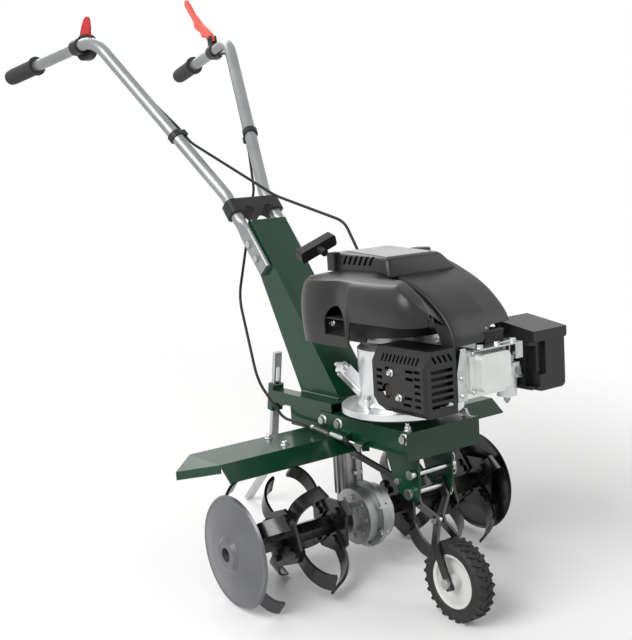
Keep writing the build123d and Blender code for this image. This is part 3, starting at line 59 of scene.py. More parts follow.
def addNode(tree, kind, settings=None, **links):
    node = tree.nodes.new(kind)
    for key, value in (settings or {}).items():
        if hasattr(node, key):
            setattr(node, key, value)
        else:
            node.inputs[key].default_value = value
    for key, source in links.items():
        tree.links.new(source, node.inputs[key])
    return node


# what a finish has unless it says otherwise: grain is the noise that breaks up the highlight,
# cloud the slow drift from colour to shade, edge the softening of sharp corners
usual = dict(metal=0.0, gloss=0.5, bump=0.1, depthMm=0.05, edgeMm=0.8, edgeSamples=4,
             grainDetail=3.0, grainRough=0.55, cloudMm=60.0, cloudDetail=4.0,
             cloudRange=(0.35, 0.7), coatRough=0.08)


def makeFinish(name, own):
    spec = {**usual, **own}
    made = bpy.data.materials.new(name)
    made.use_nodes = True
    tree = made.node_tree
    shader = tree.nodes["Principled BSDF"]
    place = addNode(tree, "ShaderNodeTexCoord").outputs["Object"]
    grain = addNode(tree, "ShaderNodeTexNoise",
                    {"Scale": 1 / (spec["grainMm"] * mm), "Detail": spec["grainDetail"],
                     "Roughness": spec["grainRough"]}, Vector=place).outputs["Fac"]
    cloud = addNode(tree, "ShaderNodeTexNoise",
                    {"Scale": 1 / (spec["cloudMm"] * mm), "Detail": spec["cloudDetail"]},
                    Vector=place).outputs["Fac"]
    ramp = addNode(tree, "ShaderNodeValToRGB", Fac=cloud)
    colours = spec["colour"], spec["shade"]
    for stop, start, colour in zip(ramp.color_ramp.elements, spec["cloudRange"], colours):
        stop.position = start
        stop.color = linear(colour)
    tree.links.new(ramp.outputs["Color"], shader.inputs["Base Color"])
    low, high = spec["rough"]
    rough = addNode(tree, "ShaderNodeMapRange", {"To Min": low, "To Max": high}, Value=grain)
    tree.links.new(rough.outputs["Result"], shader.inputs["Roughness"])
    edge = addNode(tree, "ShaderNodeBevel",
                   {"samples": spec["edgeSamples"], "Radius": spec["edgeMm"] * mm})
    bump = addNode(tree, "ShaderNodeBump",
                   {"Strength": spec["bump"], "Distance": spec["depthMm"] * mm},
                   Height=grain, Normal=edge.outputs["Normal"])
    tree.links.new(bump.outputs["Normal"], shader.inputs["Normal"])
    shader.inputs["Metallic"].default_value = spec["metal"]
    if "ior" in spec:
        shader.inputs["IOR"].default_value = spec["ior"]
    shader.inputs["Specular IOR Level"].default_value = spec["gloss"]
    if "coat" in spec:
        shader.inputs["Coat Weight"].default_value = spec["coat"]
        shader.inputs["Coat Roughness"].default_value = spec["coatRough"]
    return made


# grains under about 1 mm stand for real ones near 0.1 mm, too fine to show from here
finishes = {
    # gloss powder coat on folded steel: deep green with a faint orange peel
    "greenPowderCoat": dict(colour="#08321F", shade="#0A3A27", grainMm=1.6, rough=(0.2, 0.3),
                            bump=0.12, depthMm=0.04, ior=1.5, gloss=0.32, coat=0.12),
    # silver lacquer on steel tube: fine metal flake under satin clear
    "silverTubeLacquer": dict(colour="#8B8D8E", shade="#9A9C9D", grainMm=0.8, rough=(0.3, 0.42),
                              metal=0.7, bump=0.05),
    # black enamel on pressed and forged steel: dark, glossy, a little uneven
    "blackEnamel": dict(colour="#111213", shade="#1B1C1D", grainMm=2.5, rough=(0.22, 0.36),
                        bump=0.12, ior=1.5, coat=0.2),
    # grey metallic enamel on spun steel: a broad soft sheen over the dish
    "discEnamel": dict(colour="#5C5D60", shade="#66676A", grainMm=2.0, rough=(0.24, 0.36),
                       metal=0.35),
    # sand-blasted die-cast aluminium: bright, fine cast grain
    "castAluminium": dict(colour="#E2E3E4", shade="#D4D5D6", grainMm=1.2, rough=(0.26, 0.4),
                          metal=0.85, bump=0.25, depthMm=0.08),
    # the same metal on the gearbox, painted darker as painted shade for the shadow it sits in
    "shadedGearboxAluminium": dict(colour="#A8A9AA", shade="#8C8D8E", grainMm=1.4, rough=(0.34, 0.52),
                             metal=0.9, bump=0.3, depthMm=0.08),
    # tumbled die-cast aluminium: paler and flatter, with little mirror in it
    "paleAluminium": dict(colour="#E4E8E4", shade="#DADEDA", grainMm=1.0, rough=(0.35, 0.5),
                          metal=0.55, bump=0.15),
    # bright zinc plating on steel: cool, slightly cloudy
    "zincPlate": dict(colour="#B4B7B8", shade="#C6C8C6", grainMm=3.0, rough=(0.22, 0.36),
                      metal=1.0, bump=0.06, cloudMm=12.0),
    # turned or ground steel: grey mirror broken by fine tool marks
    "machinedSteel": dict(colour="#8E8F90", shade="#9C9D9E", grainMm=0.9, rough=(0.25, 0.4),
                          metal=1.0, bump=0.08),
    # aluminised steel of the silencer, painted dark brown as painted shade for the shadow behind
    # the guard, so its slots look dark
    "shadedSilencerSteel": dict(colour="#2C2825", shade="#3A3531", grainMm=1.5, rough=(0.45, 0.6),
                        metal=0.6, bump=0.15),
    # moulded ABS with a fine spark-eroded grain: dark grey, soft highlights
    "cowlAbs": dict(colour="#1E1D1E", shade="#252425", grainMm=0.7, rough=(0.28, 0.38),
                    bump=0.25, ior=1.53, gloss=0.34),
    # moulded glass-filled nylon: black with a dry, slightly mottled surface
    "blackNylon": dict(colour="#1A1A1B", shade="#222223", grainMm=0.8, rough=(0.4, 0.55),
                       bump=0.2, ior=1.53, gloss=0.32),
    # heat-proof satin black paint on sheet steel: even, with a low sheen
    "stovePaint": dict(colour="#171618", shade="#1E1D1F", grainMm=0.9, rough=(0.28, 0.4),
                       bump=0.2, ior=1.5, gloss=0.42),
    # moulded soft rubber on the grips: dull and slightly dusty
    "gripRubber": dict(colour="#1B1B1C", shade="#252526", grainMm=0.6, rough=(0.55, 0.75),
                       bump=0.2, ior=1.52),
    # vulcanised tyre rubber: darker and rougher, with hardly a highlight
    "tyreRubber": dict(colour="#151515", shade="#1E1E1E", grainMm=0.9, rough=(0.6, 0.8),
                       bump=0.3, ior=1.52),
    # extruded vinyl on cables: near black, a thin line of light along the top
    "cableVinyl": dict(colour="#0C0C0D", shade="#131314", grainMm=0.8, rough=(0.35, 0.5),
                       ior=1.52, gloss=0.25),
    # injection-moulded polypropylene: white, waxy, with soft edges to its highlights
    "whitePolypropylene": dict(colour="#D2D2D0", shade="#C8C8C6", grainMm=1.2, rough=(0.3, 0.45),
                               ior=1.49),
    # moulded acetal, signal red: smooth and a little greasy to look at
    "redAcetal": dict(colour="#C8181C", shade="#BA1418", grainMm=1.0, rough=(0.25, 0.38),
                      bump=0.08, ior=1.48),
    # the same plastic in an orange red that glows in daylight
    "coralAcetal": dict(colour="#E8513C", shade="#DE4733", grainMm=1.0, rough=(0.28, 0.4),
                        bump=0.08, ior=1.48),
    # cast bronze, cut to teeth: warm brown yellow
    "gearBronze": dict(colour="#A87B3F", shade="#B78A4C", grainMm=1.0, rough=(0.3, 0.45),
                       metal=1.0),
    # brushed silver foil on the starter top: pale grey with a blurred mirror
    "silverFoil": dict(colour="#A9AAA8", shade="#B8B9B7", grainMm=0.8, rough=(0.3, 0.42),
                       metal=0.8, bump=0.08),
}
finish = {name: makeFinish(name, own) for name, own in finishes.items()}
finishOf = {
    "greenPowderCoat": ["engine_tray", "rear_box", "handle_column", "mudguard_right",
                        "mudguard_left", "drag_socket", "wheel_bracket"],
    "silverTubeLacquer": ["handle_tube_right", "handle_tube_left"],
    "blackEnamel": ["tine_hubs_right", "tine_hubs_left", "tine_blades_right", "tine_blades_left",
                    "wheel_fork", "brace_strut", "tine_bolts", "plant_disc_left"],
    "discEnamel": ["plant_disc_right"],
    "castAluminium": ["crankcase", "cylinder", "oil_cap"],
    # the gearbox takes the darker copy of cast aluminium, which is painted shade
    "shadedGearboxAluminium": ["gearbox_right", "gearbox_left"],
    "paleAluminium": ["rocker_cover", "carburettor"],
    "zincPlate": ["frame_bolts", "fork_bolts", "fork_pins", "drag_bar", "control_bracket"],
    "machinedSteel": ["tine_shaft", "worm_shaft", "crankshaft", "crank_pulley", "driven_pulley",
                      "idler_arm", "idler_pulley"],
    # the silencer is painted dark as painted shade behind the guard's slots
    "shadedSilencerSteel": ["muffler"],
    "cowlAbs": ["cowl", "air_box"],
    "blackNylon": ["column_cap", "cable_clips", "fuel_cap", "starter_handle", "throttle_housing",
                   "clutch_mount"],
    "stovePaint": ["muffler_guard"],
    "gripRubber": ["grip_right", "grip_left"],
    "tyreRubber": ["wheel_tyre"],
    "cableVinyl": ["clutch_cable", "throttle_cable", "drive_belt", "starter_rope"],
    "whitePolypropylene": ["wheel_rim"],
    "redAcetal": ["throttle_lever"],
    "coralAcetal": ["clutch_lever"],
    "gearBronze": ["worm_wheel", "worm_bearings"],
    "silverFoil": ["cowl_panel"],
}
for name, wearers in finishOf.items():
    for node in wearers:
        mesh = nodes[node].data
        if mesh.materials:
            for i in range(len(mesh.materials)):
                mesh.materials[i] = finish[name]
        else:
            mesh.materials.append(finish[name])
print("finishes set:", len(finish))


# small pieces, drawn in millimetres on the level chassis and carried by its matrix
def facing(start, way, side=(1.0, 0.0, 0.0)):
    z = Vector(way).normalized()
    x = Vector(side) - z * z.dot(Vector(side))
    if x.length < 0.1:  # the side lies along the way, so another one is taken
        x = Vector((0.0, 1.0, 0.0)) - z * z.y
    x.normalize()
    return Matrix.Translation(Vector(start)) @ Matrix((x, z.cross(x), z)).transposed().to_4x4()


def joinLoops(form, loops):
    for low, high in zip(loops, loops[1:]):
        for k in range(len(low)):
            form.faces.new((low[k], low[k - 1], high[k - 1], high[k]))


def closeEnds(form, loops):
    form.faces.new(loops[0])
    form.faces.new(reversed(loops[-1]))


# each ring is a radius, a height and, for a hexagon, the word hex
def addRings(form, rings, place, steps):
    loops = []
    for radius, height, *hexagon in rings:
        loop = []
        for k in range(steps):
            a = 2 * math.pi * k / steps
            r = radius / math.cos((a % (math.pi / 3)) - math.pi / 6) if hexagon else radius
            loop.append(form.verts.new(place @ Vector((r * math.cos(a), r * math.sin(a), height))))
        loops.append(loop)
    joinLoops(form, loops)
    return loops


def addTurned(form, rings, place, steps=24):
    closeEnds(form, addRings(form, rings, place, steps))


def addRing(form, rings, place, steps=32):
    loops = addRings(form, rings, place, steps)
    joinLoops(form, [loops[-1], loops[0]])


def addWire(form, points, radius, sides=10):
    points = [Vector(p) for p in points]
    side = Vector((0.3, 0.5, 0.8))  # only has to lie off the wire's way
    turn = [2 * math.pi * k / sides for k in range(sides)]
    loops = []
    for i, point in enumerate(points):
        way = (points[min(i + 1, len(points) - 1)] - points[max(i - 1, 0)]).normalized()
        side = (side - way * side.dot(way)).normalized()
        up = way.cross(side)
        spokes = [(side * math.cos(a) + up * math.sin(a)) * radius for a in turn]
        loops.append([form.verts.new(point + spoke) for spoke in spokes])
    joinLoops(form, loops)
    closeEnds(form, loops)


def addPlate(form, outline, thick, place):
    low, high = ([form.verts.new(place @ Vector((x, y, height))) for x, y in outline]
                 for height in (0.0, thick))
    closeEnds(form, [high, low])
    joinLoops(form, [high, low])


def roundedRect(wide, high, radius, steps=5):
    right, top = wide / 2 - radius, high / 2 - radius
    corners = ((right, top, 0), (-right, top, 90), (-right, -top, 180), (right, -top, 270))
    turns = [(x, y, math.radians(start + 90 * k / steps))
             for x, y, start in corners for k in range(steps + 1)]
    return [(x + radius * math.cos(a), y + radius * math.sin(a)) for x, y, a in turns]


# a curve through every point, each stretch led by the points either side of it
def smoothLine(points, steps=8):
    points = [Vector(p) for p in points]
    ends = [2 * points[0] - points[1]] + points + [2 * points[-1] - points[-2]]
    line = []
    for a, b, c, d in zip(ends, ends[1:], ends[2:], ends[3:]):
        for k in range(steps):
            t = k / steps
            square, cube = 2 * a - 5 * b + 4 * c - d, 3 * b - a - 3 * c + d
            line.append(0.5 * (2 * b + (c - a) * t + square * t * t + cube * t ** 3))
    return line + [points[-1]]


def faceOutward(form):
    form.normal_update()  # new faces have no normal yet, and the next line starts from it
    bmesh.ops.recalc_face_normals(form, faces=form.faces)


edges = dict(sharp=35.0, segments=2)  # degrees over which an edge stays sharp, and bevel steps


def newPiece(name, form, finishName, bevel=0.0):
    faceOutward(form)
    form.transform(chassis)
    mesh = bpy.data.meshes.new(name)
    form.to_mesh(mesh)
    form.free()
    mesh.materials.append(finish[finishName])
    mesh.set_sharp_from_angle(angle=math.radians(edges["sharp"]))
    piece = bpy.data.objects.new(name, mesh)
    bpy.context.collection.objects.link(piece)
    for face in mesh.polygons:
        face.use_smooth = True
    if bevel:
        soft = piece.modifiers.new("softEdges", "BEVEL")
        soft.width = bevel * mm
        soft.segments = edges["segments"]
        soft.limit_method = "ANGLE"
    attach(piece, "chassis")
    return piece


def bothSides(spots):
    return [(x * side, y, z) for x, y, z in spots for side in (1, -1)]


# flange collars under the big deck bolts
deckCollars = dict(spots=[(-75.0, -213.0, 192.0), (-75.0, 10.0, 190.0), (-75.0, -36.0, 190.0)],
                   profile=[(7.7, 0.0), (10.5, 0.0), (10.5, 0.9), (9.7, 1.6), (8.1, 2.6),
                            (7.7, 2.6)])


def makeDeckCollars():
    form = bmesh.new()
    for x, y, z in bothSides(deckCollars["spots"]):
        addRing(form, deckCollars["profile"], facing((x, y, z), (math.copysign(1, x), 0, 0)))
    newPiece("deckBoltCollars", form, "zincPlate")


# hexagon bolts with a flange: shares of the width across flats, then millimetres
flangeBolt = dict(head=0.62, crown=0.46, dish=(0.3, 0.24), rim=0.8, slopeIn=0.5, slopeTop=1.2,
                  neck=2.0, chamfer=0.7, dishFloor=0.2)


def addFlangeBolt(form, spot, way, across, flange):
    head, crown = across * flangeBolt["head"], across * flangeBolt["crown"]
    dishEdge, dishMiddle = (across * share for share in flangeBolt["dish"])
    top = head + flangeBolt["chamfer"]
    addTurned(form, [(flange, 0.0), (flange, flangeBolt["rim"]),
                     (flange - flangeBolt["slopeIn"], flangeBolt["slopeTop"]),
                     (across / 2, flangeBolt["neck"], "hex"), (across / 2, head, "hex"),
                     (crown, top), (dishEdge, top), (dishMiddle, head + flangeBolt["dishFloor"])],
              facing(spot, way))


guardBolts = dict(spots=[(-115.0, -236.0, 313.0), (-115.0, -255.0, 275.0)], across=8.0, flange=6.4,
                  proud=0.6, cup=[(8.6, 0.0), (8.6, 0.3), (7.8, 0.6)])


def makeGuardBolts():
    bolts, cups = bmesh.new(), bmesh.new()
    across, flange, out = guardBolts["across"], guardBolts["flange"], (-1, 0, 0)
    for x, y, z in guardBolts["spots"]:
        addFlangeBolt(bolts, (x - guardBolts["proud"], y, z), out, across, flange)
        addTurned(cups, guardBolts["cup"], facing((x, y, z), out))
    newPiece("mufflerGuardBolts", bolts, "zincPlate")
    newPiece("mufflerGuardCups", cups, "stovePaint")


coverBolts = dict(middle=(20.0, -316.0, 306.0), reach=(34.0, 31.0), across=7.0, flange=4.2)


def makeCoverBolts():
    form = bmesh.new()
    x, y, z = coverBolts["middle"]
    dx, dz = coverBolts["reach"]
    for spot in [(x + dx * i, y, z + dz * j) for i in (-1, 1) for j in (-1, 1)]:
        addFlangeBolt(form, spot, (0, -1, 0), coverBolts["across"], coverBolts["flange"])
    newPiece("rockerCoverBolts", form, "zincPlate")


wingBolts = dict(spots=[(-160.0, 62.0, 165.0), (-168.0, 0.0, 165.0)], across=10.0, flange=8.0,
                 sheet=2.0)


def makeWingBolts():
    form = bmesh.new()
    across, flange = wingBolts["across"], wingBolts["flange"]
    for x, y, z in bothSides(wingBolts["spots"]):
        addFlangeBolt(form, (x, y, z), (0, 0, 1), across, flange)
        addFlangeBolt(form, (x, y, z - wingBolts["sheet"]), (0, 0, -1), across, flange)
    newPiece("mudguardBolts", form, "zincPlate")


cowlStud = dict(root=(-80.0, -76.0, 379.0), across=8.0, flange=6.0,
                profile=[(11.0, 0.0), (9.0, 4.0), (8.0, 23.0), (7.0, 24.0)])


def makeCowlStud():
    boss, bolt = bmesh.new(), bmesh.new()
    (x, y, z), out = cowlStud["root"], (-1, 0, 0)
    long = cowlStud["profile"][-1][1]
    addTurned(boss, cowlStud["profile"], facing((x, y, z), out))
    addFlangeBolt(bolt, (x - long, y, z), out, cowlStud["across"], cowlStud["flange"])
    newPiece("cowlBoss", boss, "blackNylon")
    newPiece("cowlBolt", bolt, "zincPlate")


# washer, nut and thread end on the sump flange
sumpStuds = dict(spots=[(-66.0, -212.0, 205.0)],
                 profile=[(8.0, 0.0), (8.0, 1.2), (5.0, 1.3, "hex"), (5.0, 7.0, "hex"), (4.5, 7.8),
                          (3.4, 7.8), (3.4, 12.0), (2.6, 13.0)])


def makeSumpStuds():
    form = bmesh.new()
    for spot in bothSides(sumpStuds["spots"]):
        addTurned(form, sumpStuds["profile"], facing(spot, (0, 0, 1)))
    newPiece("sumpStuds", form, "zincPlate")


# coil box with a lid and a pale terminal on the control plate, and the lead that runs up
# under the dome; the lead's points and the terminal are measured from the box
coilBox = dict(middle=(43.0, -299.0, 346.5), size=(42.0, 26.0, 4.0), high=16.0,
               lid=(44.0, 28.0, 5.0), lidHigh=4.5, bevel=1.2, terminal=(-13.0, -5.0, 20.4),
               terminalProfile=[(3.2, 0.0), (3.2, 3.0), (2.2, 5.5), (1.0, 6.0)], lead=3.2,
               leadLine=[(18.0, 0.0, 10.0), (26.0, 2.0, 12.0), (30.0, 12.0, 22.0),
                         (28.0, 26.0, 34.0)])


def makeCoilBox():
    form, tip, lead = bmesh.new(), bmesh.new(), bmesh.new()
    middle, high, up = Vector(coilBox["middle"]), coilBox["high"], (0, 0, 1)
    addPlate(form, roundedRect(*coilBox["size"]), high, facing(middle, up))
    addPlate(form, roundedRect(*coilBox["lid"]), coilBox["lidHigh"],
             facing(middle + Vector((0, 0, high)), up))
    addTurned(tip, coilBox["terminalProfile"], facing(middle + Vector(coilBox["terminal"]), up))
    line = smoothLine([middle + Vector(point) for point in coilBox["leadLine"]])
    addWire(lead, line, coilBox["lead"])
    newPiece("coilBox", form, "blackNylon", bevel=coilBox["bevel"])
    newPiece("coilTerminal", tip, "whitePolypropylene")
    newPiece("plugLead", lead, "cableVinyl")


# bright stay between the muffler guard and the cylinder head, bent back above its knee
exhaustStay = dict(x=(-45.0, -25.0), y=-312.0, z=(262.0, 310.0, 349.0), thick=2.5, lean=6.0,
                   topInset=(4.0, 5.0), boltInset=10.0, across=7.0, flange=5.0, bevel=0.6)


def makeExhaustStay():
    form = bmesh.new()
    x0, x1 = exhaustStay["x"]
    low, knee, top = exhaustStay["z"]
    y, thick, inset = exhaustStay["y"], exhaustStay["thick"], exhaustStay["boltInset"]
    wide, lower, upper = x1 - x0, knee - low, top - knee
    addPlate(form, [(0, 0), (wide, 0), (wide, lower), (0, lower)], thick,
             facing((x0, y, low), (0, -1, 0)))
    left, right = exhaustStay["topInset"]
    addPlate(form, [(0, 0), (wide, 0), (wide - right, upper), (left, upper)], thick,
             facing((x0, y, knee), (0, -1, -exhaustStay["lean"] / upper)))
    for z in (low + inset, knee - inset):
        addFlangeBolt(form, ((x0 + x1) / 2, y - thick, z), (0, -1, 0),
                      exhaustStay["across"], exhaustStay["flange"])
    newPiece("exhaustStay", form, "zincPlate", bevel=exhaustStay["bevel"])


# throttle rods, choke arms and bowl fittings round the carburettor
carbTrim = dict(rod=1.3, bevel=0.3,
                upperRod=[(30.0, -336.0, 349.5), (52.0, -338.0, 350.0), (66.0, -336.0, 344.0),
                          (84.0, -318.0, 330.0), (96.0, -304.0, 314.0)],
                lowerRod=[(62.0, -318.0, 347.0), (66.0, -320.0, 341.0), (70.0, -316.0, 328.0),
                          (76.0, -306.0, 316.0), (82.0, -302.0, 311.0)],
                arm=[(-5, -5), (5, -5), (6, 4), (14, 16), (10, 20), (-2, 10), (-6, 2)],
                armThick=2.0, armAt=(84.0, -302.0, 303.0), smallArm=0.8,
                smallArmAt=(100.0, -304.5, 292.0),
                screws=[(80.5, -304.0, 287.0), (101.5, -304.0, 287.0)], across=6.0, flange=4.0,
                drainAt=(89.5, -288.0, 244.0),
                drain=[(5.0, 0.0, "hex"), (5.0, 5.0, "hex"), (3.0, 6.0), (3.0, 9.0)])


def makeCarbTrim():
    rods, arms = bmesh.new(), bmesh.new()
    forward, thick, small = (0, -1, 0), carbTrim["armThick"], carbTrim["smallArm"]
    for line in (carbTrim["lowerRod"], carbTrim["upperRod"]):
        addWire(rods, smoothLine(line), carbTrim["rod"])
    addPlate(arms, carbTrim["arm"], thick, facing(carbTrim["armAt"], forward))
    flipped = [(x * small, -y * small) for x, y in reversed(carbTrim["arm"])]
    addPlate(arms, flipped, thick, facing(carbTrim["smallArmAt"], forward))
    for spot in carbTrim["screws"]:
        addFlangeBolt(arms, spot, forward, carbTrim["across"], carbTrim["flange"])
    addTurned(arms, carbTrim["drain"], facing(carbTrim["drainAt"], (0, 0, -1)))
    newPiece("carburettorRods", rods, "zincPlate")
    newPiece("carburettorArms", arms, "machinedSteel", bevel=carbTrim["bevel"])


# clutch cable end on the deck's right side: ferrule, inner wire, return spring, adjuster
# barrel with its nuts, tail of the sheath, and the two lugs that hold them
cableEnd = dict(x=-87.0, deckX=-75.0, start=(30.0, 177.0), end=(-118.0, 165.0), wire=1.0,
                spring=(18.0, 40.0), springRadius=4.2, springWire=0.8, springSides=8, turns=9,
                turnSteps=12, ferrule=[(3.6, 0.0), (4.6, 1.5), (4.6, 10.0)],
                barrelAt=-28.0, nutsAt=-66.0,
                barrel=[(3.4, 0.0), (5.2, 1.2), (5.2, 29.0), (4.4, 31.0), (4.4, 38.0)],
                nuts=[(5.6, 0.0, "hex"), (5.6, 4.0, "hex"), (4.0, 4.2), (4.0, 8.0),
                      (5.6, 8.2, "hex"), (5.6, 12.0, "hex")], tail=(-78.0, -96.0), tailRadius=2.4,
                lug=[(0, -12), (15, -9), (18, 0), (15, 9), (0, 12)], lugAt=-71.0,
                hook=[(0, -9), (15, -7), (17, 0), (15, 7), (0, 9)], lugThick=2.5, bevel=0.5)


def cableSlope():
    (y0, z0), (y1, z1) = cableEnd["start"], cableEnd["end"]
    return (z1 - z0) / (y1 - y0)


def cableSpot(y, x=cableEnd["x"]):
    y0, z0 = cableEnd["start"]
    return (x, y, z0 + cableSlope() * (y - y0))


def makeCableEnd():
    wire, barrel, nuts, lugs = bmesh.new(), bmesh.new(), bmesh.new(), bmesh.new()
    start, end, way = cableEnd["start"][0], cableEnd["end"][0], (0, -1, -cableSlope())
    addWire(wire, [cableSpot(start - 1), cableSpot(end)], cableEnd["wire"])
    springStart, springLong = cableEnd["spring"]
    steps, r, coil = cableEnd["turnSteps"] * cableEnd["turns"], cableEnd["springRadius"], []
    for k in range(steps + 1):
        x, y, z = cableSpot(springStart - springLong * k / steps)
        a = 2 * math.pi * k / cableEnd["turnSteps"]
        coil.append((x + r * math.cos(a), y, z + r * math.sin(a)))
    addWire(wire, coil, cableEnd["springWire"], cableEnd["springSides"])
    addTurned(barrel, cableEnd["ferrule"], facing(cableSpot(start + 1), way))
    addTurned(barrel, cableEnd["barrel"], facing(cableSpot(cableEnd["barrelAt"]), way))
    addTurned(nuts, cableEnd["nuts"], facing(cableSpot(cableEnd["nutsAt"]), way))
    addWire(barrel, [cableSpot(y) for y in cableEnd["tail"]], cableEnd["tailRadius"])
    for outline, y in ((cableEnd["lug"], cableEnd["lugAt"]), (cableEnd["hook"], end)):
        place = facing(cableSpot(y, cableEnd["deckX"]), (0, -1, 0), (-1, 0, 0))
        addPlate(lugs, outline, cableEnd["lugThick"], place)
    newPiece("clutchWire", wire, "machinedSteel")
    newPiece("clutchBarrel", barrel, "zincPlate")
    newPiece("clutchNuts", nuts, "blackNylon")
    newPiece("clutchLugs", lugs, "greenPowderCoat", bevel=cableEnd["bevel"])


# spring-steel hairpins through the pin ends; each line runs from the straight leg's tip round
# the eye to the waved leg's tip, as shares of the length and millimetres aside
hairpins = dict(wire=1.2, sides=8, long=34.0, back=12.0, steps=6,
                spots=[((45.0, -182.0, 86.0), (0, -0.3, -1)), ((50.0, -192.0, 121.0), (0, 0.3, 1))],
                line=[(1.0, 0.0), (0.5, 0.0), (0.12, 0.2), (0.06, -3.0), (-0.05, -6.5),
                      (-0.16, -3.0), (-0.05, 1.5), (0.25, 4.0), (0.4, 2.6), (0.55, 5.0),
                      (0.75, 6.5), (0.9, 4.0)])


def makeHairpins():
    form = bmesh.new()
    long = hairpins["long"]
    for spot, way in hairpins["spots"]:
        place = facing(Vector(spot) - Vector(way).normalized() * hairpins["back"], way)
        line = [place @ Vector((aside, 0, share * long)) for share, aside in hairpins["line"]]
        addWire(form, smoothLine(line, hairpins["steps"]), hairpins["wire"], hairpins["sides"])
    newPiece("hairpins", form, "zincPlate")


# fillet welds where the column meets the rear box
columnWelds = dict(x=40.0, y=(2.0, 122.0), z=222.0, proud=0.6, frontGap=0.8, endGap=2.0, radius=2.6,
                   sides=8, ripple=0.35, ripplePace=2.1, sideSteps=40, frontSteps=30)


def makeColumnWelds():
    form = bmesh.new()
    (y0, y1), wide, proud = columnWelds["y"], columnWelds["x"], columnWelds["proud"]
    gap, steps, z = columnWelds["endGap"], columnWelds["sideSteps"], columnWelds["z"] + proud
    runs = [[(side * (wide + proud), y0 + gap + (y1 - y0 - 2 * gap) * k / steps, z)
             for k in range(steps + 1)] for side in (-1, 1)]
    steps = columnWelds["frontSteps"]
    runs.append([(-wide + 2 * wide * k / steps, y0 - columnWelds["frontGap"], z)
                 for k in range(steps + 1)])
    ripple, pace = columnWelds["ripple"], columnWelds["ripplePace"]
    for run in runs:
        line = [(x, y, h + ripple * math.sin(k * pace)) for k, (x, y, h) in enumerate(run)]
        addWire(form, line, columnWelds["radius"], columnWelds["sides"])
    newPiece("columnWelds", form, "greenPowderCoat")


# moulded cowl: a swelling side wing with a skirt, a louvre strip sunk in its front, a front
# dome, the starter top and the shroud under them; each knee of the plan has its own rounding
cowl = dict(half=127.0, rear=17.0, front=-306.0, tuck=-284.0, columns=260, wall=3.0, rim=388.0,
            shoulder=455.0, roof=470.0, roofHalf=108.0, rearRound=60.0, frontRound=46.0,
            lip=(-82.0, 8.0), tuckKnee=(-62.0, 10.0), creaseRound=30.0, cheek=(85.0, 40.0),
            kneeSteps=12)


def smoothStep(low, high, value):
    t = min(max((value - low) / (high - low), 0.0), 1.0)
    return t * t * (3 - 2 * t)


# walls, soft edges and cuts are worked out by modifiers on a blank, which then goes
def shaped(form, wall=0.0, bevel=0.0, bevelSteps=4, cutter=None):
    made = []
    for part in [form] + ([cutter] if cutter else []):
        faceOutward(part)
        mesh = bpy.data.meshes.new("blank")
        part.to_mesh(mesh)
        part.free()
        made.append(bpy.data.objects.new("blank", mesh))
        bpy.context.collection.objects.link(made[-1])
    blank = made[0]
    if wall:
        skin = blank.modifiers.new("wall", "SOLIDIFY")
        skin.thickness, skin.offset = wall, -1.0
    if bevel:
        soft = blank.modifiers.new("softEdges", "BEVEL")
        soft.width, soft.segments = bevel, bevelSteps
    if cutter:
        cut = blank.modifiers.new("cut", "BOOLEAN")
        cut.operation, cut.solver, cut.object = "DIFFERENCE", "EXACT", made[1]
    done = bmesh.new()
    done.from_object(blank, bpy.context.evaluated_depsgraph_get())
    for part in made:
        bpy.data.objects.remove(part)
    return done


def cowlMiddle():
    return Vector((0.0, (cowl["rear"] + cowl["front"]) / 2))


# the plan's rounded line, then the same line in even steps
def cowlOutline():
    half, rear, front, tuck = cowl["half"], cowl["rear"], cowl["front"], cowl["tuck"]
    (lipX, lipRound), (tuckX, tuckRound) = cowl["lip"], cowl["tuckKnee"]
    cheekBack, cheekRound = cowl["cheek"]
    knees = [(half, rear, cowl["rearRound"]), (-half, rear, cowl["rearRound"]),
             (-half, front, cowl["frontRound"]), (lipX, front, lipRound), (tuckX, tuck, tuckRound),
             (dome["crease"], tuck, cowl["creaseRound"]), (half, tuck + cheekBack, cheekRound)]
    line, steps = [], cowl["kneeSteps"]
    for k, (x, y, r) in enumerate(knees):
        corner = Vector((x, y))
        come = Vector(knees[k - 1][:2]) - corner
        go = Vector(knees[(k + 1) % len(knees)][:2]) - corner
        start, end = corner + come.normalized() * r, corner + go.normalized() * r
        for t in [n / steps for n in range(steps + 1)]:
            line.append(start.lerp(corner, t).lerp(corner.lerp(end, t), t))
    line.append(line[0])
    lengths = [(b - a).length for a, b in zip(line, line[1:])]
    step, points, walked, at = sum(lengths) / cowl["columns"], [], 0.0, 0
    for k in range(cowl["columns"]):
        while walked + lengths[at] < k * step:
            walked += lengths[at]
            at += 1
        points.append(line[at].lerp(line[at + 1], (k * step - walked) / lengths[at]))
    return points


# the wing rises from its low edge to a ridge, turns over the shoulder and closes to the roof;
# turnAt and roofAt are the shares of that way where the turn and the roof begin
wing = dict(turnAt=0.3, roofAt=0.5, rows=(24, 16, 30), skirt=344.0, skirtEnd=-144.0, skirtBlend=4.0,
            skirtIn=0.025, rearFrom=(-150.0, -80.0), ridge=421.0, rearRidge=20.0, edge=0.85,
            rearEdge=0.05, capFrom=-172.0, capPower=2.4, capOver=3.0,
            dent=dict(y=-104.0, z=420.0, wide=26.0, high=34.0, depth=-9.0),
            swell=dict(y=-212.0, z=421.0, wide=62.0, high=30.0, depth=4.0),
            arch=dict(x=-150.0, deep=70.0, y=-109.0, half=28.0, low=363.0, high=412.0, steps=16))


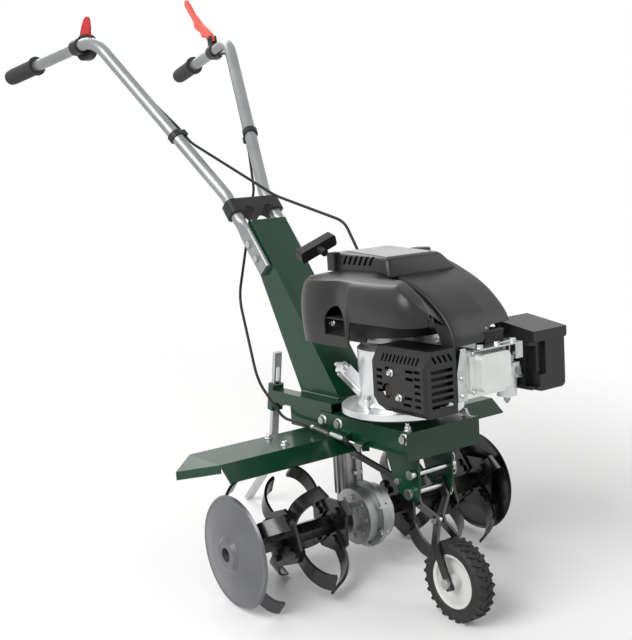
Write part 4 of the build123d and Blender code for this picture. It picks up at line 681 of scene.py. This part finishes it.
def wingPoint(base, t):
    turnAt, roofAt, shoulder = wing["turnAt"], wing["roofAt"], cowl["shoulder"]
    rear = smoothStep(*wing["rearFrom"], base.y)
    end, blend = wing["skirtEnd"], wing["skirtBlend"]
    raised = 1 - smoothStep(end - blend, end + blend, base.y)
    low = wing["skirt"] + (cowl["rim"] - wing["skirt"]) * raised
    ridge = min(wing["ridge"] + wing["rearRidge"] * rear, (low + wingLimit(base.x, base.y)) / 2)
    edge = wing["edge"] + wing["rearEdge"] * rear
    if t < turnAt:
        scale = 1 - wing["skirtIn"] + wing["skirtIn"] * math.sin(math.pi / 2 * t / turnAt)
        z = low + (ridge - low) * t / turnAt
    elif t < roofAt:
        a = math.pi / 2 * (t - turnAt) / (roofAt - turnAt)
        scale, z = edge + (1 - edge) * math.cos(a), ridge + (shoulder - ridge) * math.sin(a)
    else:
        scale = edge * (1 - (t - roofAt) / (1 - roofAt))
        z = shoulder + (cowl["roof"] - shoulder) * (1 - (scale / edge) ** 2)
    flat = cowlMiddle() + (base - cowlMiddle()) * scale
    for spot in (wing["dent"], wing["swell"]):
        if flat.x < 0:
            along, up = (flat.y - spot["y"]) / spot["wide"], (z - spot["z"]) / spot["high"]
            flat += Vector((-1.0, 0.0)) * spot["depth"] * math.exp(-along ** 2 - up ** 2)
    return (flat.x, flat.y, min(z, wingLimit(flat.x, flat.y)))


# the wing's top falls away to the front like the end of an egg
def wingCap(y):
    fall = wing["capFrom"] - cowl["front"] + wing["capOver"]
    u = max((wing["capFrom"] - y) / fall, 0.0)
    high = math.sqrt(max(1 - u ** wing["capPower"], 0.0))
    return cowl["rim"] + (cowl["roof"] - cowl["rim"]) * high


# the wing keeps under the louvre strip
def wingLimit(x, y):
    x0, start = louvre["x"][0], louvre["y"]
    (ahead, behind), side = louvre["wingBlend"], louvre["wingSide"]
    sunk = smoothStep(x0, x0 + side, x) * smoothStep(start + ahead, start + behind, y)
    return stripHeight(x, y) - louvre["depth"] * sunk


def archOutline():
    spot = wing["arch"]
    half, spring = spot["half"], spot["high"] - spot["half"]
    turns = [math.pi * k / spot["steps"] for k in range(spot["steps"] + 1)]
    return [(-half, spot["low"]), (half, spot["low"])] + [
        (half * math.cos(a), spring + half * math.sin(a)) for a in turns]


def makeCowlWing():
    form, cutter = bmesh.new(), bmesh.new()
    turnAt, roofAt = wing["turnAt"], wing["roofAt"]
    rows, stretches = [], ((0.0, turnAt), (turnAt, roofAt), (roofAt, 1.0))
    for (start, end), count in zip(stretches, wing["rows"]):
        rows += [start + k / count * (end - start) for k in range(count)]
    outline = cowlOutline()
    loops = [[form.verts.new(wingPoint(base, t)) for base in outline] for t in rows]
    for low, high in zip(loops, loops[1:]):
        for k in range(len(outline)):
            form.faces.new((low[k - 1], low[k], high[k], high[k - 1]))
    form.faces.new(loops[-1])
    arch = wing["arch"]
    place = facing((arch["x"], arch["y"], 0.0), (1, 0, 0), (0, 1, 0))
    addPlate(cutter, archOutline(), arch["deep"], place)
    addRopeCutter(cutter)
    made = shaped(form, wall=cowl["wall"], cutter=cutter)
    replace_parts(newPiece("cowlWing", made, "cowlAbs"), "cowl")


# slotted strip between the wing and the dome, sunk to just under the dome's line
louvre = dict(x=(-92.0, -47.0), y=-196.0, depth=8.0, columns=14, rows=54, slots=(18, 27, 36, 45),
              slotRows=3, slotColumns=(2, 10), wall=2.0, sunk=0.3, behind=26.0, under=3.0, shy=1.0,
              slant=14.0, blend=(30.0, -10.0), blendSlant=30.0, wingBlend=(14.0, -2.0),
              wingSide=9.0, fall=0.5, fallFrom=(-130.0, -190.0))


def stripHeight(x, y):
    crown = (cowl["roof"] - cowl["shoulder"]) * (x / cowl["roofHalf"]) ** 2
    high = min(wingCap(y), cowl["roof"] - crown)
    (x0, x1), start = louvre["x"], louvre["y"]
    share = min(max((x - x0) / (x1 - x0), 0.0), 1.0)
    ahead, behind = (start + edge + louvre["blendSlant"] * share for edge in louvre["blend"])
    share *= smoothStep(ahead, behind, y)
    past = max(x - dome["crease"], 0.0) * smoothStep(*louvre["fallFrom"], y)
    sunk = domeHeight(y) - dome["step"] - louvre["fall"] * past
    return high + (min(sunk, high) - high) * share


def makeCowlLouvre():
    form = bmesh.new()
    (x0, x1), top, rows = louvre["x"], louvre["y"] + louvre["behind"], louvre["rows"]
    across = [k / louvre["columns"] for k in range(louvre["columns"] + 1)]
    grid = []
    for j in range(rows + 1):
        row = []
        for t in across:
            x = x0 + (x1 + louvre["under"] - x0) * t
            end = cowl["front"] + louvre["shy"] + louvre["slant"] * t
            y = top + (end - top) * j / rows
            row.append(form.verts.new((x, y, stripHeight(x, y) - louvre["sunk"])))
        grid.append(row)
    first, last = louvre["slotColumns"]
    slotted = {slot + k for slot in louvre["slots"] for k in range(louvre["slotRows"])}
    for j in range(rows):
        for k in range(louvre["columns"]):
            if not (first <= k <= last and j in slotted):
                corners = grid[j][k], grid[j][k + 1], grid[j + 1][k + 1], grid[j + 1][k]
                form.faces.new(corners)
    newPiece("cowlLouvre", shaped(form, wall=louvre["wall"]), "cowlAbs")


# front dome: one section, flat with a crease and two rounded sides, carried down a curved line
# from a rear end that dips under the roof; x and the depth under the line are in millimetres
dome = dict(x=(-45.0, 100.0), line=[(-140.0, 466.0), (-190.0, 455.0), (-244.0, 432.0),
                                    (-286.0, 400.0), (-306.0, 372.0), (-312.0, 351.0)],
            rearEnd=(-116.0, 440.0), steps=6, above=20.0, fall=(-4.0, 16.0), side=(30.0, 48.0),
            round=6.0, roundSteps=4, flat=(-20.0, 0.0, 15.0, 24.0, 33.0), crease=42.0,
            creaseWide=1.0, creaseDeep=1.5, cheek=(0.1, 0.4, 0.7), step=7.0,
            lowEdge=(15.0, 42.0, 351.0, 376.0), least=0.02)


def domeHeight(y):
    for (y0, z0), (y1, z1) in zip(dome["line"], dome["line"][1:]):
        if y1 <= y <= y0:
            return z0 + (z1 - z0) * (y - y0) / (y1 - y0)
    return cowl["roof"] + dome["above"]


# each point of the section: x, depth under the line and share of the cheek's fall
def domeSection():
    (x0, x1), r, crease, deep = dome["x"], dome["round"], dome["crease"], dome["creaseDeep"]
    turns = [math.pi / 2 * k / dome["roundSteps"] for k in range(dome["roundSteps"] + 1)]
    left, right = dome["side"]
    section = [(x0, left, 0.0)]
    section += [(x0 + r - r * math.cos(a), r - r * math.sin(a), 0.0) for a in turns]
    section += [(x, 0.0, 0.0) for x in (*dome["flat"], crease - dome["creaseWide"])]
    section += [(crease, deep, 0.0)]
    section += [(crease + (x1 - r - crease) * t, deep * (1 - t), t) for t in dome["cheek"]]
    section += [(x1 - r + r * math.sin(a), r - r * math.cos(a), 1.0) for a in turns]
    return section + [(x1, right, 1.0)]


# the dome's low edge rises from the crease to the cheek: points below it are drawn back up
def trimDome(loops):
    xLow, xHigh, zLow, zHigh = dome["lowEdge"]
    for column in zip(*loops):
        share = min(max((column[0].co.x - xLow) / (xHigh - xLow), 0.0), 1.0)
        edge = zLow + (zHigh - zLow) * share
        for above, vert in zip(column, column[1:]):
            if vert.co.z < edge and column[0].co.x > xLow:
                kept = (above.co.z - edge) / max(above.co.z - vert.co.z, 0.01)
                vert.co = above.co + (vert.co - above.co) * max(kept, dome["least"])


def makeCowlDome():
    form = bmesh.new()
    lead = dome["steps"]  # the steps from the rear end to the dome itself
    line = smoothLine([(0.0, y, z) for y, z in [dome["rearEnd"]] + dome["line"]], lead)
    section, (early, late), loops = domeSection(), dome["fall"], []
    for k, point in enumerate(line):
        way = (line[min(k + 1, len(line) - 1)] - line[max(k - 1, 0)]).normalized()
        out = Vector((0.0, way.z, -way.y))
        drop = early + (late - early) * max(k - lead, 0) / (len(line) - lead)
        spots = [point - out * (deep + drop * share) + Vector((x, 0.0, 0.0))
                 for x, deep, share in section]
        loops.append([form.verts.new(spot) for spot in spots])
    trimDome(loops)
    for low, high in zip(loops, loops[1:]):
        for k in range(1, len(section)):
            form.faces.new((low[k - 1], low[k], high[k], high[k - 1]))
    newPiece("cowlDome", shaped(form, wall=cowl["wall"]), "cowlAbs")


# starter top: a low hipped lid with slots in its right side, the guide that the rope leaves by
# and the fuel neck; low and high are x and y limits with a height
starterTop = dict(low=(-64.0, 98.0, -28.0, -185.0, 452.0), high=(-60.0, 58.0, -40.0, -176.0, 495.0),
                  dip=7.0, bevel=8.0, slots=6, pitch=14.0, slotY=-58.0, slotX=-72.0, slotDeep=18.0,
                  slot=[(0.0, 473.0), (-6.0, 473.0), (-13.0, 488.0), (-7.0, 488.0)],
                  guide=(-60.0, -34.0, 462.0), guideSize=(22.0, 20.0, 3.0), guideHigh=31.0,
                  rope=(-60.0, -50.0, 475.0), ropeAngle=20.0, ropeHole=3.2, ropeSides=16,
                  ropeReach=(-160.0, 60.0), neck=(101.0, -75.0, 443.0),
                  neckProfile=[(11.0, 0.0), (24.0, 0.0), (18.0, 14.0), (14.0, 19.0), (14.0, 30.0),
                               (11.0, 30.0)])


def addRopeCutter(cutter):
    a = math.radians(starterTop["ropeAngle"])
    way, rope = Vector((0.0, math.cos(a), math.sin(a))), Vector(starterTop["rope"])
    line = [rope + way * reach for reach in starterTop["ropeReach"]]
    addWire(cutter, line, starterTop["ropeHole"], starterTop["ropeSides"])


def makeStarterTop():
    form, cutter = bmesh.new(), bmesh.new()
    rims = []
    for rim, dip in ((starterTop["low"], 0.0), (starterTop["high"], starterTop["dip"])):
        x0, x1, y0, y1, z = rim
        corners = (x0, y0, z), (x1, y0, z), (x1, y1, z - dip), (x0, y1, z - dip)
        rims.append([form.verts.new(corner) for corner in corners])
    closeEnds(form, rims[::-1])
    joinLoops(form, rims[::-1])
    for k in range(starterTop["slots"]):
        y = starterTop["slotY"] - starterTop["pitch"] * k
        place = facing((starterTop["slotX"], 0, 0), (1, 0, 0), (0, 1, 0))
        outline = [(y + along, z) for along, z in starterTop["slot"]]
        addPlate(cutter, outline, starterTop["slotDeep"], place)
    lid = shaped(form, bevel=starterTop["bevel"], cutter=cutter)
    newPiece("cowlStarterTop", lid, "cowlAbs")
    guide, cutter, neck, up = bmesh.new(), bmesh.new(), bmesh.new(), (0, 0, 1)
    addPlate(guide, roundedRect(*starterTop["guideSize"]), starterTop["guideHigh"],
             facing(starterTop["guide"], up))
    addRopeCutter(cutter)
    newPiece("cowlRopeGuide", shaped(guide, cutter=cutter), "cowlAbs")
    addRing(neck, starterTop["neckProfile"], facing(starterTop["neck"], up))
    newPiece("cowlFuelNeck", neck, "cowlAbs")


# shroud: a floor inside the wing with a collar round the flywheel, and a plate behind the arch
shroud = dict(crank=(0.0, -125.0), radius=90.0, low=357.0, wall=3.0, lift=1.0, inside=0.955,
              plate=(96.0, 42.0, 4.0), plateAt=(-84.0, -90.0, 367.0))


def makeShroud():
    form = bmesh.new()
    (x, y), r, low, wall = shroud["crank"], shroud["radius"], shroud["low"], shroud["wall"]
    middle = cowlMiddle()
    outer = [middle + (base - middle) * shroud["inside"] for base in cowlOutline()]
    turns = [math.atan2(p.y - y, p.x - x) for p in outer]
    inner, collar = ([Vector((x + reach * math.cos(a), y + reach * math.sin(a))) for a in turns]
                     for reach in (r, r + wall))
    z = cowl["rim"] + shroud["lift"]
    top = z + wall
    rings = [(outer, z), (collar, z), (collar, low), (inner, low), (inner, top), (outer, top)]
    loops = [[form.verts.new((p.x, p.y, height)) for p in ring] for ring, height in rings]
    joinLoops(form, loops + loops[:1])
    addPlate(form, roundedRect(*shroud["plate"]), wall,
             facing(shroud["plateAt"], (1, 0, 0), (0, 1, 0)))
    newPiece("cowlShroud", form, "blackNylon")


# folded dark sheet of painted shade that closes the guard behind the silencer, so its slots stay
# dark
slotShadeSheet = dict(sheet=1.5, rearY=-200.0, sideX=-49.0,
                  rear=[(-112.0, 276.0), (-49.0, 276.0), (-49.0, 347.0), (-101.0, 347.0),
                        (-112.0, 327.0)],
                  side=[(-312.0, 262.0), (-214.0, 262.0), (-200.0, 276.0), (-200.0, 347.0),
                        (-312.0, 347.0)])


def makeSlotShadeSheet():
    form = bmesh.new()
    sheet = slotShadeSheet["sheet"]
    addPlate(form, [(x, -z) for x, z in slotShadeSheet["rear"]], sheet,
             facing((0, slotShadeSheet["rearY"], 0), (0, 1, 0)))
    addPlate(form, slotShadeSheet["side"], sheet,
             facing((slotShadeSheet["sideX"], 0, 0), (1, 0, 0), (0, 1, 0)))
    newPiece("guardSlotShadeSheet", form, "stovePaint")


# rubber sleeve and flange that lead the throttle cable through the cowl's rear wall
throttleSleeve = dict(end=(60.0, 24.0, 440.0), way=(4.0, -60.0, -96.0),
                      profile=[(3.2, -14.0), (4.4, -10.0), (4.4, 24.0)],
                      flangeAt=(60.0, 15.5, 428.0), flange=[(9.0, 0.0), (9.0, 3.0), (7.5, 4.5)])


def makeThrottleSleeve():
    form = bmesh.new()
    addTurned(form, throttleSleeve["profile"],
              facing(throttleSleeve["end"], throttleSleeve["way"]))
    addTurned(form, throttleSleeve["flange"], facing(throttleSleeve["flangeAt"], (0, 1, 0)))
    newPiece("throttleSleeve", form, "cableVinyl")


for makePiece in (makeDeckCollars, makeGuardBolts, makeCoverBolts, makeWingBolts, makeCowlStud,
                  makeSumpStuds, makeCoilBox, makeExhaustStay, makeCarbTrim, makeCableEnd,
                  makeHairpins, makeColumnWelds, makeCowlWing, makeCowlLouvre, makeCowlDome,
                  makeStarterTop, makeShroud, makeSlotShadeSheet, makeThrottleSleeve):
    makePiece()
print("pieces made")


# studio: pale floor that fades into a white surround, and three big soft lamps; metres and watts
studio = dict(floorSize=14.0, floorDrop=0.0005, floorColour="#F6F6F5", floorGloss=0.2,
              fibreMm=10 / 3, fibreDetail=2.0, floorRough=(0.75, 0.9), fade=(0.75, 1.5),
              skyStrength=0.42, whiteStrength=1.0)
lamps = {
    "keySoftbox": dict(power=130.0, size=(2.4, 2.4), place=(-3.0, -0.9, 2.6),
                       target=(0, -0.2, 0.4)),
    "fillSoftbox": dict(power=16.0, size=(2.0, 2.0), place=(2.4, -2.2, 2.2),
                        target=(0, -0.2, 0.4)),
    "backSoftbox": dict(power=50.0, size=(2.6, 1.6), place=(0.4, 3.0, 2.6),
                        target=(0, 0, 0.5)),
}


# matte paper: white with a faint fibre in its roughness, clear beyond the fade
def makeFloor():
    bpy.ops.mesh.primitive_plane_add(size=studio["floorSize"],
                                     location=(0, 0, -studio["floorDrop"]))
    floor = bpy.context.object
    floor.name = "studioFloor"
    made = bpy.data.materials.new("matteBackdropPaper")
    made.use_nodes = True
    tree = made.node_tree
    shader = tree.nodes["Principled BSDF"]
    place = addNode(tree, "ShaderNodeTexCoord").outputs["Object"]
    fibre = addNode(tree, "ShaderNodeTexNoise",
                    {"Scale": 1 / (studio["fibreMm"] * mm), "Detail": studio["fibreDetail"]},
                    Vector=place)
    low, high = studio["floorRough"]
    rough = addNode(tree, "ShaderNodeMapRange", {"To Min": low, "To Max": high},
                    Value=fibre.outputs["Fac"])
    tree.links.new(rough.outputs["Result"], shader.inputs["Roughness"])
    shader.inputs["Base Color"].default_value = linear(studio["floorColour"])
    shader.inputs["Specular IOR Level"].default_value = studio["floorGloss"]
    reach = addNode(tree, "ShaderNodeVectorMath", {"operation": "LENGTH"}, Vector=place)
    near, far = studio["fade"]
    fade = addNode(tree, "ShaderNodeMapRange", {"interpolation_type": "SMOOTHSTEP",
                                                "From Min": near, "From Max": far},
                   Value=reach.outputs["Value"])
    clear = addNode(tree, "ShaderNodeBsdfTransparent")
    mixed = addNode(tree, "ShaderNodeMixShader", Fac=fade.outputs["Result"])
    tree.links.new(shader.outputs["BSDF"], mixed.inputs[1])
    tree.links.new(clear.outputs["BSDF"], mixed.inputs[2])
    tree.links.new(mixed.outputs["Shader"], tree.nodes["Material Output"].inputs["Surface"])
    floor.data.materials.append(made)


def makeLamp(name, spec):
    lamp = bpy.data.lights.new(name, "AREA")
    lamp.energy = spec["power"]
    lamp.shape = "RECTANGLE"
    lamp.size, lamp.size_y = spec["size"]
    holder = bpy.data.objects.new(name, lamp)
    bpy.context.collection.objects.link(holder)
    holder.location = spec["place"]
    way = Vector(spec["target"]) - Vector(spec["place"])
    holder.rotation_euler = way.to_track_quat("-Z", "Y").to_euler()


# plain white where it is seen or mirrored, a dimmer sky for the soft light
def makeWorld():
    world = bpy.data.worlds.new("whiteStudio")
    bpy.context.scene.world = world
    world.use_nodes = True
    tree = world.node_tree
    tree.nodes.clear()
    path = addNode(tree, "ShaderNodeLightPath")
    white = (1, 1, 1, 1)
    sky = addNode(tree, "ShaderNodeBackground",
                  {"Strength": studio["skyStrength"], "Color": white})
    plain = addNode(tree, "ShaderNodeBackground",
                    {"Strength": studio["whiteStrength"], "Color": white})
    seen = addNode(tree, "ShaderNodeMixShader")
    some = addNode(tree, "ShaderNodeMath", {"operation": "ADD"})
    tree.links.new(path.outputs["Is Camera Ray"], some.inputs[0])
    tree.links.new(path.outputs["Is Glossy Ray"], some.inputs[1])
    every = addNode(tree, "ShaderNodeMath", {"operation": "ADD", "use_clamp": True})
    tree.links.new(some.outputs["Value"], every.inputs[0])
    tree.links.new(path.outputs["Is Transmission Ray"], every.inputs[1])
    tree.links.new(every.outputs["Value"], seen.inputs["Fac"])
    tree.links.new(sky.outputs["Background"], seen.inputs[1])
    tree.links.new(plain.outputs["Background"], seen.inputs[2])
    out = addNode(tree, "ShaderNodeOutputWorld")
    tree.links.new(seen.outputs["Shader"], out.inputs["Surface"])


makeFloor()
makeWorld()
for name, spec in lamps.items():
    makeLamp(name, spec)
print("studio lit")


# camera at the photograph's viewing angle; the aim is measured from the tine axle in metres
shot = dict(azimuth=-36.5, elevation=13.2, distance=2.0544, aim=(-0.029, 0.1136, 0.3507),
            focalPx=1110.0, imagePx=640.0, sensor=36.0)


def makeCamera():
    a, e = math.radians(shot["azimuth"]), math.radians(shot["elevation"])
    back = Vector((math.sin(a) * math.cos(e), -math.cos(a) * math.cos(e), math.sin(e)))
    lens = bpy.data.cameras.new("shot")
    lens.sensor_width = shot["sensor"]
    lens.lens = shot["focalPx"] * shot["sensor"] / shot["imagePx"]
    camera = bpy.data.objects.new("shot", lens)
    bpy.context.collection.objects.link(camera)
    camera.location = axle + Vector(shot["aim"]) + back * shot["distance"]
    camera.rotation_euler = back.to_track_quat("Z", "Y").to_euler()
    bpy.context.scene.camera = camera


makeCamera()
bpy.context.scene.view_settings.view_transform = "Standard"
print("camera placed")
